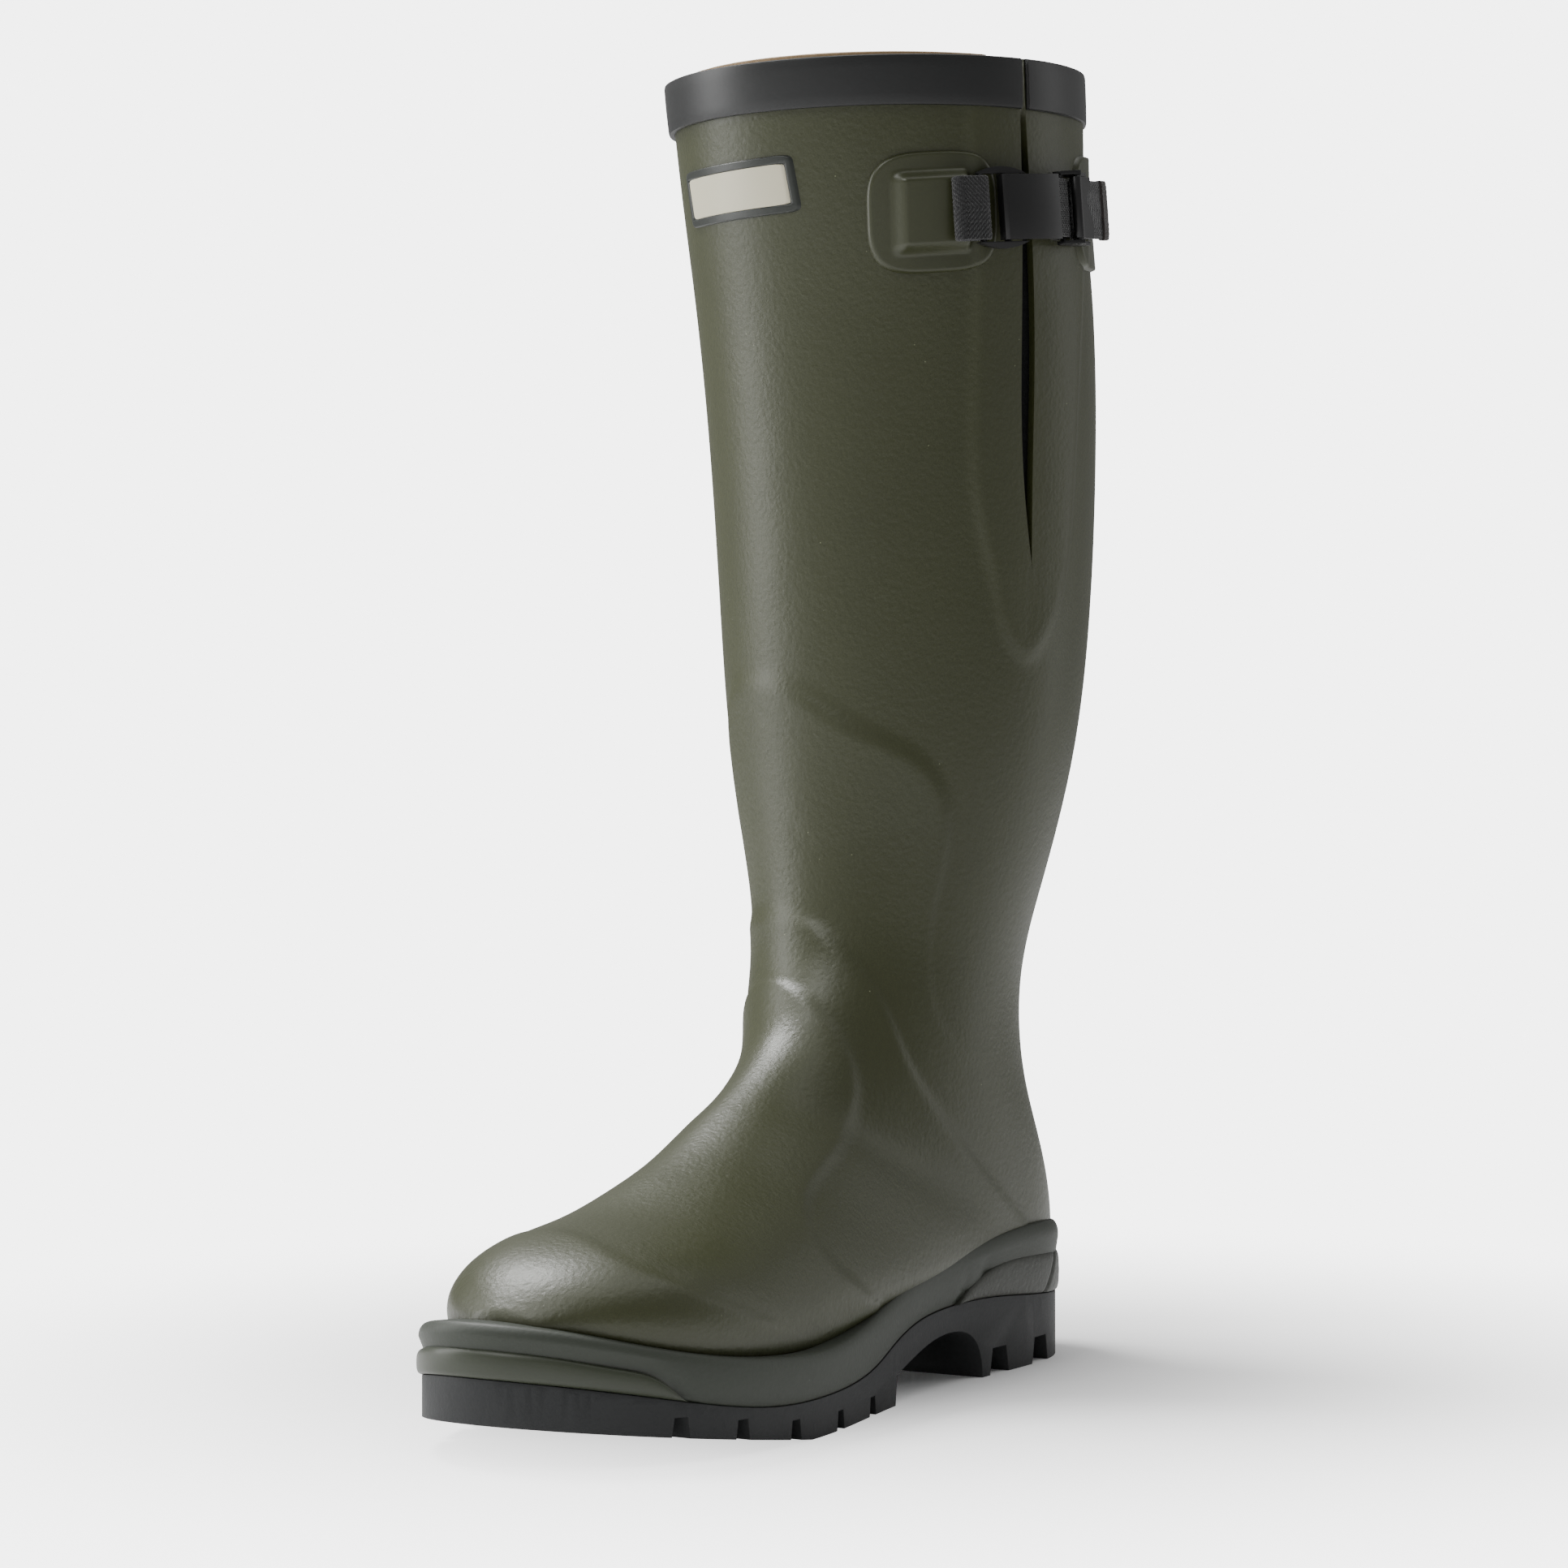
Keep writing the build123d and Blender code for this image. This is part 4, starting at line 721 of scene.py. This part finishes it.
def make_lining():
    """Lining, facing tape, gusset bellows and footbed."""
    lining = lay("lining", 150, 170, place_lining, degrees=60)
    modify(lining, "SOLIDIFY", thickness=LINING_THICKNESS * MM, offset=1, use_even_offset=False)
    tidy_mesh(lining, 0.01)
    done(lining, "boot", "neoprene", finish_of("neoprene"), "neoprene_lining")
    facing = lay("facing", 220, len(FACING_SECTION), place_facing, fill=True, degrees=50)
    done(facing, "boot", "facing_tape", finish_of("facing"), "lining_facing")
    bellows = lay("bellows", 40, 90, place_bellows, degrees=60)
    modify(bellows, "SOLIDIFY", thickness=1.1 * MM, offset=0)
    done(bellows, "boot", "neoprene", finish_of("neoprene"), "gusset_bellows")
    footbed = lay("footbed", 120, 40, place_footbed, degrees=60)
    done(footbed, "boot", "foam", finish_of("foam"), "footbed")


# ---- sole ------------------------------------------------------------------

def outline_tables():
    """Spline weights for the sole's outline, run on past both ends so that it closes smoothly."""
    loop = np.array(SOLE_OUTLINE, float)
    long = np.concatenate([loop[-4:], loop, loop[:5]])
    steps = np.concatenate([[0], np.cumsum(np.linalg.norm(np.diff(long, axis=0), axis=1))])
    fine = np.linspace(steps[4], steps[4 + len(loop)], 1401)
    points = spline_weights(steps, fine) @ long
    run = np.concatenate([[0], np.cumsum(np.linalg.norm(np.diff(points, axis=0), axis=1))])
    ahead = np.gradient(points[:-1], axis=0)
    ahead[0] = ahead[-1] = points[1] - points[-2]
    normal = np.column_stack([-ahead[:, 1], ahead[:, 0]])
    normal /= np.linalg.norm(normal, axis=1, keepdims=True)
    normal = np.concatenate([normal, normal[:1]])
    return run / run[-1], points, normal


OUTLINE_AT, OUTLINE_POINTS, OUTLINE_NORMALS = outline_tables()
if OUTLINE_NORMALS[350, 0] < 0:
    OUTLINE_NORMALS = -OUTLINE_NORMALS


def outline(share, grow):
    """Points of the sole's outline, at a share of the way round, grown outwards."""
    share = np.mod(share, 1.0)
    point = [np.interp(share, OUTLINE_AT, OUTLINE_POINTS[:, i]) for i in (0, 1)]
    normal = [np.interp(share, OUTLINE_AT, OUTLINE_NORMALS[:, i]) for i in (0, 1)]
    return np.stack([p + n * grow for p, n in zip(point, normal)], 1)


TOE_SHARE = OUTLINE_AT[OUTLINE_POINTS[:, 1].argmin()]


def share_at(y, side):
    """Share of the way round the outline where it reaches y on one side."""
    lateral = OUTLINE_AT <= TOE_SHARE
    chosen = lateral if side > 0 else ~lateral
    ys, at = OUTLINE_POINTS[chosen, 1], OUTLINE_AT[chosen]
    order = np.argsort(ys)
    return np.interp(y, ys[order], at[order])


def rounded(v, power):
    """Section of a closed bar with rounded edges: (outwards, upwards), each from -1 to 1."""
    angle = 2 * np.pi * v
    c, s = np.cos(angle), np.sin(angle)
    return np.sign(s) * np.abs(s) ** (2 / power), -np.sign(c) * np.abs(c) ** (2 / power)


def roll(height, low, high, amount):
    """Outward swell between two heights, nothing outside them."""
    share = np.clip((height - low) / np.maximum(high - low, 0.1), 0, 1)
    return amount * (1 - (2 * share - 1) ** 2)


def place_rand(u, v):
    """Closed section round the sole, with its upper part swollen between the seams."""
    wide, high = rounded(v, 7)
    y = outline(u, 0)[:, 1]
    bottom, top = curve_at(SOLE_TOP, y) - 0.2, curve_at(RAND_TOP, y)
    height = (bottom + top) / 2 + high * (top - bottom) / 2
    lip = np.maximum(np.where(y < -197, curve_at(BUMPER_TOP, y), bottom),
                     np.where(y > -40, curve_at(HEEL_LIP, y), bottom))
    grow = -3.6 + 3.6 * wide
    swell = roll(height, lip, top, 1.0) * (wide > 0)
    swell -= 0.7 * np.exp(-((height - lip) / 0.9) ** 2) * (lip > bottom + 1) * (wide > 0)
    flat = outline(u, grow + swell)
    return np.column_stack([flat, height])


def place_bumper(u, v):
    """Toe bumper: a rounded bar that tapers to a point at each end."""
    start, end = share_at(-197.5, 1), share_at(-197.5, -1)
    share = start + (end - start) * u
    y = outline(share, 0)[:, 1]
    wide, high = rounded(v, 4.5)
    bottom = curve_at(SOLE_TOP, y) + 0.15
    top = np.maximum(curve_at(BUMPER_TOP, y) - 0.6, bottom + 0.05)
    taper = ramp(np.minimum(u, 1 - u), 0, 0.1)
    height = (bottom + top) / 2 + high * (top - bottom) / 2
    grow = -1.6 + (1.6 + 1.3 * taper) * wide + roll(height, bottom, top, 0.3) * taper * (wide > 0)
    return np.column_stack([outline(share, grow), height])


def heel_strip(side_start, side_end):
    """place() for a rounded bar between two ends, each a side, a y (None for the joint) and a gap."""
    def end_share(spec, height):
        side, y, gap = spec
        if y is None:
            y = curve_at(PANEL_JOINT, height) + gap
        return share_at(y, side) - (1.0 if side < 0 else 0.0)

    def place(u, v):
        wide, high = rounded(v, 6)
        share = np.zeros(len(u))
        height = np.full(len(u), 25.0)
        for _ in range(6):
            start, end = end_share(side_start, height), end_share(side_end, height)
            share = start + (end - start) * u
            y = outline(share, 0)[:, 1]
            bottom = curve_at(SOLE_TOP, y) + 0.15
            top = np.maximum(curve_at(HEEL_LIP, y) - 0.7, bottom + 0.05)
            height = (bottom + top) / 2 + high * (top - bottom) / 2
        ends = ramp(np.minimum(u, 1 - u), -0.002, 0.012)
        grow = -2.0 + (1.9 + 0.9 * ends) * wide + roll(height, bottom, top, 0.5) * (wide > 0)
        return np.column_stack([outline(share, grow), height])
    return place


def rounded_copy(name, node, width, angle=28, segments=2, degrees=40):
    """A copy of a hard CAD part with its edges eased."""
    deselect()
    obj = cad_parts[node].copy()
    obj.data = obj.data.copy()
    obj.name = obj.data.name = name
    obj.parent = None
    obj.matrix_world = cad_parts[node].matrix_world.copy()
    bpy.context.scene.collection.objects.link(obj)
    pick(obj)
    bpy.ops.object.transform_apply(location=True, rotation=True, scale=True)
    bpy.ops.object.mode_set(mode="EDIT")
    bpy.ops.mesh.select_all(action="SELECT")
    bpy.ops.mesh.remove_doubles(threshold=0.004 * MM)
    bpy.ops.mesh.dissolve_limited(angle_limit=math.radians(0.6))
    bpy.ops.object.mode_set(mode="OBJECT")
    modify(obj, "BEVEL", width=width * MM, segments=segments, limit_method="ANGLE",
           angle_limit=math.radians(angle), use_clamp_overlap=True)
    smooth(obj, degrees)
    return obj


def make_sole():
    """Outsole, rand, toe bumper and heel panels."""
    outsole = rounded_copy("outsole_tread", "outsole", 0.5)
    done(outsole, "boot", "tread_rubber", finish_of("tread"), "outsole")
    rand = lay("rand", 360, 56, place_rand, degrees=50)
    done(rand, "boot", "rand_rubber", finish_of("rand"), "midsole_rand")
    bumper = lay("bumper", 150, 32, place_bumper, fill=True, degrees=50)
    done(bumper, "boot", "rand_rubber", finish_of("bumper"), "toe_bumper")
    joints = {
        "heel_guard": ((-1, None, 0.3), (1, None, 0.3), 70, "heel_back_guard"),
        "heel_side_lateral": ((1, None, -0.3), (1, -39.5, 0), 60, "heel_panel_lateral"),
        "heel_side_medial": ((-1, -39.5, 0), (-1, None, -0.3), 60, "heel_panel_medial"),
    }
    for name, (start, end, columns, node) in joints.items():
        strip = lay(name, columns, 36, heel_strip(start, end), fill=True, degrees=50)
        done(strip, "boot", "rand_rubber", finish_of("panel"), node)


# ---- back stay and kick spur -----------------------------------------------

def rear_point(x, z, out):
    """Points on the back of the boot at x and z, stood off outwards."""
    phi = np.arcsin(np.clip(x / 44, -1, 1))
    along = np.interp(-z, -REAR_HEIGHTS, REAR_ALONG)
    return skin(phi, along) + skin_normals(phi, along) * out[:, None]


REAR_ALONG = np.arange(0.0, KNOTS[10] + 1, 2.0)
REAR_HEIGHTS = skin(np.zeros(len(REAR_ALONG)), REAR_ALONG)[:, 2]


def place_stay(u, v):
    """Strip up the back of the heel with a rounded top and rounded sides."""
    wide, out = rounded(v, 5)
    z = 42 + u * 126
    narrow = np.sqrt(np.clip(1 - (np.clip(z - 162, 0, 6) / 6) ** 2, 0, 1))
    half = 7.0 * np.where(z > 162, 0.35 + 0.65 * narrow, 1.0)
    end = ramp(168 - z, -0.1, 2.5)
    return rear_point(out * half, z, 0.3 + (0.9 - 0.9 * wide) * end)


def place_spur(u, v):
    """Crescent ledge across the back of the heel."""
    out, high = rounded(v, 3.2)
    x = (u - 0.5) * 30
    ledge = 3.4 * np.sqrt(np.clip(1 - (x / 15.2) ** 2, 0, 1))
    thick = 2.2 * (0.35 + 0.65 * np.sqrt(np.clip(1 - (x / 15.2) ** 2, 0, 1)))
    return rear_point(x, 74.2 + high * thick, 0.8 + ledge * 0.5 * (1 + out))


def make_back():
    """Back stay and kick spur."""
    stay = lay("back_stay_strip", 90, 20, place_stay, fill=True, degrees=50)
    done(stay, "boot", "trim_rubber", finish_of("trim"), "back_stay")
    spur = lay("kick_spur_ledge", 50, 24, place_spur, fill=True, degrees=50)
    done(spur, "boot", "trim_rubber", finish_of("trim"), "kick_spur")


# ---- patches and badge -----------------------------------------------------

def laid_plate(angle, half_width, half_height, power, shift, heights, tree, edge=1.2):
    """place() for a plate on the skin, heights(x, z) giving its thickness."""
    origin, rear_axis, up_axis, out_axis = strap_axes(angle)

    def place(u, v):
        theta = 2 * np.pi * u
        c, s = np.cos(theta), np.sin(theta)
        reach = (np.abs(c) ** power + np.abs(s) ** power) ** (-1 / power)
        share = np.where(v <= 0.8, v / 0.8, (1 - v) / 0.2)
        share = np.clip(share, 0, 1)
        x, z = c * reach * half_width * share, s * reach * half_height * share + shift
        rim = np.minimum(half_width, half_height) * (1 - share)
        out = heights(x, z - shift) * np.sqrt(np.clip(1 - (1 - np.clip(rim / edge, 0, 1)) ** 2, 0, 1))
        out = np.where(v > 0.8, -0.6, out - 0.15)
        result = np.zeros((len(u), 3))
        for i in range(len(u)):
            base = origin + rear_axis * x[i] + up_axis * z[i]
            hit = tree.ray_cast(Vector(base + out_axis * 30), Vector(-out_axis), 60)[0]
            if hit is None:
                raise RuntimeError("a plate reaches past the upper")
            result[i] = np.array(hit) + out_axis * out[i]
        return result
    return place


def pillow_heights(x, z):
    """Front patch: a flat plate with a raised pillow that the webbing comes out of."""
    side = ramp(x, -14.5, -9.5) * ramp(11.5 - x, 0, 1.6)
    ends = ramp(z, -13.5, -9.5) * ramp(-z, -13.5, -9.5)
    return 1.9 + 3.6 * side * ends


def make_patches():
    """Anchor patches on both sides of the slit."""
    tree = surface_tree()
    front = lay("front_patch", 150, 70, laid_plate(-46, 21, 18.8, 3.6, 0, pillow_heights, tree), degrees=50)
    done(front, "boot", "upper_rubber", finish_of("patch"), "front_anchor_patch")
    rear = lay("rear_patch", 120, 40,
               laid_plate(24, 19, 18.5, 4.5, 0, lambda x, z: np.full(len(x), 1.9), tree), degrees=50)
    done(rear, "boot", "upper_rubber", finish_of("patch"), "rear_anchor_patch")


def make_badge():
    """Blank badge: a rim and a field, both moulded rubber."""
    tree = surface_tree()

    def rim_heights(x, z):
        inside = np.maximum(np.abs(x) - 24.0, np.abs(z) - 6.6)
        return 1.0 - 0.7 * ramp(-inside, 0, 0.5)

    rim = lay("badge_rim", 200, 60, laid_plate(-108, 26.5, 9, 14, 12.5, rim_heights, tree, 0.4), degrees=40)
    done(rim, "boot", "badge_rim", finish_of("badge_rim"), "badge_frame")
    plate = laid_plate(-108, 23.9, 6.5, 16, 12.5, lambda x, z: np.full(len(x), 0.9), tree, 0.3)
    field = lay("badge_field", 200, 40, plate, degrees=40)
    done(field, "boot", "badge_field", finish_of("badge"), "badge_plate")


# ---- strap -----------------------------------------------------------------

def slot_path(centre, separation, radius, degrees):
    """Closed slot-shaped path as (rearward, outward) points with their outward normals, evenly spaced."""
    straight, bend = separation, math.pi * radius
    total = 2 * (straight + bend)
    at = np.linspace(0, total, 240, endpoint=False)
    points, normals = [], []
    for d in at:
        if d < straight:
            p, n = (-straight / 2 + d, radius), (0, 1)
        elif d < straight + bend:
            t = (d - straight) / radius
            p, n = (straight / 2 + radius * math.sin(t), radius * math.cos(t)), (math.sin(t), math.cos(t))
        elif d < 2 * straight + bend:
            p, n = (straight / 2 - (d - straight - bend), -radius), (0, -1)
        else:
            t = (d - 2 * straight - bend) / radius
            p, n = (-straight / 2 - radius * math.sin(t), -radius * math.cos(t)), (-math.sin(t), -math.cos(t))
        points.append(p)
        normals.append(n)
    c, s = math.cos(math.radians(degrees)), math.sin(math.radians(degrees))
    spin = np.array([[c, s], [-s, c]])
    return np.array(points) @ spin + np.array(centre), np.array(normals) @ spin, total


def band(angle, path, normals, width, thickness, relief_at):
    """place() for webbing along a path: a flat rounded section with a woven relief on its faces."""
    def place(u, v):
        count = len(path)
        spot = (u * count) % count
        low = np.floor(spot).astype(int) % count
        mix = (spot - np.floor(spot))[:, None]
        middle = path[low] * (1 - mix) + path[(low + 1) % count] * mix
        normal = normals[low] * (1 - mix) + normals[(low + 1) % count] * mix
        face = np.where(v < 0.5, 1.0, -1.0)
        half = np.where(v < 0.5, v, v - 0.5) * 2
        across = (half - 0.5) * 2 * face
        edge = np.clip((np.abs(across) - 0.93) / 0.07, 0, 1)
        thick = thickness / 2 * np.sqrt(np.clip(1 - edge**2, 0, 1))
        lift = face * (thick + relief_at(u, across) * (1 - edge))
        flat = middle + normal * lift[:, None]
        return on_strap(angle, flat[:, 0], across * width / 2, flat[:, 1])
    return place


def twill(length):
    """Herringbone relief: slanted ribs that change direction at the middle of the webbing."""
    def relief_at(u, across):
        ribs = u * length / 1.5 + np.abs(across) * 7.0
        return 0.16 * np.cos(2 * np.pi * ribs) + 0.05 * np.cos(2 * np.pi * across * 9)
    return relief_at


def pebble(length):
    """Coarse plain weave: pebbles in offset rows."""
    def relief_at(u, across):
        rows = u * length / 1.35
        shift = np.cos(2 * np.pi * rows)
        return 0.2 * shift * np.cos(2 * np.pi * across * 6.5)
    return relief_at


def make_webbing():
    """Webbing loops, the strap between the buckles, the tail and its hem."""
    thickness = bpy.context.scene.boot_sizes.webbing_thickness / MM
    path, normals, length = slot_path((-7.3 - 3.6, 4.5), 7.2, 1.6 + thickness / 2, 0)
    place = band(RING_ANGLE, path, normals, 20, thickness, twill(length))
    loop = lay("front_loop", 240, 150, place, degrees=70)
    done(loop, "boot", "webbing", finish_of("twill"), "front_webbing_loop")

    origin, rear_axis, up_axis, out_axis = strap_axes(ADJUSTER_ANGLE)
    bar = on_strap(HOOK_ANGLE, [13.6], [0], [2.6])[0] - origin
    start = np.array([bar @ rear_axis, bar @ out_axis])
    reach = np.array([-6.5, 3.0]) - start
    path, normals, length = slot_path(start + reach / 2, np.linalg.norm(reach), 1.2 + thickness / 2,
                                      math.degrees(math.atan2(reach[1], reach[0])))
    place = band(ADJUSTER_ANGLE, path, normals, COARSE_WIDTH, thickness, pebble(length))
    strap = lay("strap", 260, 130, place, degrees=70)
    done(strap, "boot", "webbing", finish_of("coarse"), "strap_webbing")

    path, normals, length = slot_path((6.0 + 4.5, 1.5 - 0.4), 9.0, 1.05 + thickness / 2, -5)
    place = band(ADJUSTER_ANGLE, path, normals, COARSE_WIDTH, thickness, pebble(length))
    rear = lay("rear_loop", 200, 120, place, degrees=70)
    done(rear, "boot", "webbing", finish_of("coarse"), "rear_webbing_loop")

    def straight(front, back, bottom, thick, half, lift):
        def place(u, v):
            side, face = rounded(v, 6)
            raised = lift(u * (back - front), side) * (np.abs(side) < 0.97) * np.sign(face)
            return on_strap(ADJUSTER_ANGLE, front + u * (back - front), side * half,
                            bottom + thick / 2 + face * thick / 2 + raised * (np.abs(face) > 0.9))
        return place

    def weave(run, side):
        return 0.1 * np.cos(2 * np.pi * run / 1.2) * np.cos(2 * np.pi * side * 7)

    def ribs(run, side):
        return 0.05 * np.cos(40 * side)

    tail = lay("tail", 90, 120, straight(-2.6, 20.0, 4.2, thickness, 9.3, weave), fill=True, degrees=70)
    done(tail, "tail", "webbing", finish_of("coarse"), "strap_tail")
    hem = lay("tail_hem_fold", 24, 120, straight(17.8, 21.0, 3.3, 2.9, 9.6, ribs), fill=True, degrees=60)
    done(hem, "tail", "webbing", finish_of("hem"), "tail_hem")


def make_hardware():
    """Ring, hook plate, adjuster frame, pin and lever, each with eased edges."""
    parts = {
        "ring_steel": ("buckle_ring", "boot", 0.5), "hook_cover": ("hook_plate", "hook", 0.3),
        "adjuster_cheeks": ("adjuster_frame", "boot", 0.25), "adjuster_axle": ("adjuster_pin", "boot", 0.15),
        "lever_blade": ("adjuster_lever", "lever", 0.35),
    }
    for name, (node, body, width) in parts.items():
        done(rounded_copy(name, node, width), body, "blackened_steel", finish_of("metal"), node)


def dress_core():
    """Materials of the parts kept from the CAD model, inside the boot."""
    finishes = {
        "board": ("insole_board", "toe_puff", "heel_stiffener"), "steel": ("steel_shank",),
        "foam": ("midsole_filler", "heel_core"),
    }
    for finish, nodes in finishes.items():
        for node in nodes:
            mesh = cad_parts[node].data
            mesh.materials.clear()
            mesh.materials.append(finish_of(finish))


# ---- stage -----------------------------------------------------------------

BACKDROP = 5.2      # tone of the empty backdrop
ROOM_LIGHT = 0.32   # light that the pale room throws on the boot


def area_light(name, place, target, size, power, tall=None):
    """A soft rectangular light aimed at a point."""
    deselect()
    bpy.ops.object.light_add(type="AREA", location=place)
    light = bpy.context.object
    light.name = name
    light.data.energy = power
    light.data.shape = "RECTANGLE"
    light.data.size, light.data.size_y = size, tall or size
    light.rotation_euler = (Vector(target) - Vector(place)).to_track_quat("-Z", "Y").to_euler()


def make_stage():
    """Pale floor, soft lights and the camera."""
    deselect()
    bpy.ops.mesh.primitive_circle_add(vertices=96, radius=40, fill_type="NGON", location=(0, 0, 0))
    floor = bpy.context.object
    floor.name = "floor"
    material, tree, shader, where = new_material("Matt paper sweep")
    shader.inputs["Base Color"].default_value = (0.9, 0.9, 0.9, 1)
    shader.inputs["Roughness"].default_value = 0.9
    shader.inputs["Specular IOR Level"].default_value = 0.1
    # The paper runs up into an evenly lit backdrop: its far part shows at the backdrop's tone.
    far = add_node(tree, "ShaderNodeVectorMath", [(0, where, "Object")], operation="LENGTH")
    share = add_node(tree, "ShaderNodeMapRange", [("Value", far, "Value")], interpolation_type="SMOOTHSTEP",
                     From_Min=0.04, From_Max=0.42)
    rays = add_node(tree, "ShaderNodeLightPath")
    seen = add_node(tree, "ShaderNodeMath", [(0, share, "Result"), (1, rays, "Is Camera Ray")],
                    operation="MULTIPLY")
    glow = add_node(tree, "ShaderNodeEmission", Strength=BACKDROP)
    mix = add_node(tree, "ShaderNodeMixShader",
                   [(0, seen, "Value"), (1, shader, "BSDF"), (2, glow, "Emission")])
    output = next(node for node in tree.nodes if node.type == "OUTPUT_MATERIAL")
    tree.links.new(mix.outputs[0], output.inputs["Surface"])
    floor.data.materials.append(material)
    world = bpy.context.scene.world or bpy.data.worlds.new("Studio")
    bpy.context.scene.world = world
    world.use_nodes = True
    sky = world.node_tree
    sky.nodes.clear()
    room = add_node(sky, "ShaderNodeBackground", Strength=ROOM_LIGHT, Color=(1, 1, 1, 1))
    backdrop = add_node(sky, "ShaderNodeBackground", Strength=BACKDROP, Color=(1, 1, 1, 1))
    rays = add_node(sky, "ShaderNodeLightPath")
    choice = add_node(sky, "ShaderNodeMixShader",
                      [(0, rays, "Is Camera Ray"), (1, room, "Background"), (2, backdrop, "Background")])
    add_node(sky, "ShaderNodeOutputWorld", [("Surface", choice, "Shader")])
    aim = (0, -0.03, 0.2)
    area_light("key_softbox", (-0.8, 0.0, 1.35), (0, -0.08, 0.08), 0.5, 26)
    area_light("front_softbox", (-0.35, -1.25, 1.35), (0, -0.05, 0.1), 0.7, 11, 0.9)
    area_light("left_softbox", (-1.5, -0.7, 0.7), aim, 0.6, 18, 1.3)
    area_light("overhead", (0.1, 0.2, 1.8), aim, 1.6, 13)
    area_light("rim_strip", (1.1, 1.2, 0.5), aim, 0.35, 2.5, 1.3)
    bpy.ops.object.camera_add(location=(0.6207, -1.1221, 0.1901),
                              rotation=(math.radians(90), 0, math.radians(30.6)))
    camera = bpy.context.object
    camera.name = "camera"
    camera.data.lens = 88.85
    camera.data.sensor_width = 36
    camera.data.shift_y = 0.001
    bpy.context.scene.camera = camera


# ---- operators, panel and main ---------------------------------------------

def build_operator(class_name, idname, label, build):
    """An operator class that runs one build step."""
    def execute(self, context):
        build()
        return {"FINISHED"}

    members = {"__doc__": build.__doc__, "bl_idname": idname, "bl_label": label, "execute": execute}
    return type(class_name, (bpy.types.Operator,), members)


class BOOT_PT_Sidebar(bpy.types.Panel):
    """Sidebar with the boot's sizes, colours and steps"""

    bl_idname = "BOOT_PT_sidebar"
    bl_label = "Field Boot"
    bl_space_type = "VIEW_3D"
    bl_region_type = "UI"
    bl_category = "Boot"

    def draw(self, context):
        for group in (context.scene.boot_sizes, context.scene.boot_colours):
            for key in group.bl_rna.properties.keys():
                if key not in ("rna_type", "name"):
                    self.layout.prop(group, key)
        for operator in OPERATORS:
            self.layout.operator(operator.bl_idname)


STEPS = (
    ("BOOT_OT_BuildUpper", "boot.upper", "Upper", make_upper),
    ("BOOT_OT_BuildLining", "boot.lining", "Lining and footbed", make_lining),
    ("BOOT_OT_BuildCollar", "boot.collar", "Collar", make_collar),
    ("BOOT_OT_BuildSole", "boot.sole", "Sole", make_sole),
    ("BOOT_OT_BuildBack", "boot.back", "Back stay and spur", make_back),
    ("BOOT_OT_BuildPatches", "boot.patches", "Anchor patches", make_patches),
    ("BOOT_OT_BuildBadge", "boot.badge", "Badge", make_badge),
    ("BOOT_OT_BuildWebbing", "boot.webbing", "Webbing", make_webbing),
    ("BOOT_OT_BuildHardware", "boot.hardware", "Buckle", make_hardware),
    ("BOOT_OT_DressCore", "boot.core", "Inner parts", dress_core),
    ("BOOT_OT_BuildStage", "boot.stage", "Stage", make_stage),
)
OPERATORS = tuple(build_operator(*step) for step in STEPS)
CLASSES = (BootColours, BootSizes) + OPERATORS + (BOOT_PT_Sidebar,)


def register():
    """Register the classes and hang the settings on the scene."""
    for cls in CLASSES:
        bpy.utils.register_class(cls)
    bpy.types.Scene.boot_colours = PointerProperty(type=BootColours)
    bpy.types.Scene.boot_sizes = PointerProperty(type=BootSizes)


def unregister():
    """Undo register."""
    del bpy.types.Scene.boot_sizes
    del bpy.types.Scene.boot_colours
    for cls in reversed(CLASSES):
        bpy.utils.unregister_class(cls)


def main():
    """Run every step in order and note the sizes."""
    register()
    for operator in OPERATORS:
        group, name = operator.bl_idname.split(".")
        getattr(getattr(bpy.ops, group), name)()


if __name__ == "__main__":
    main()
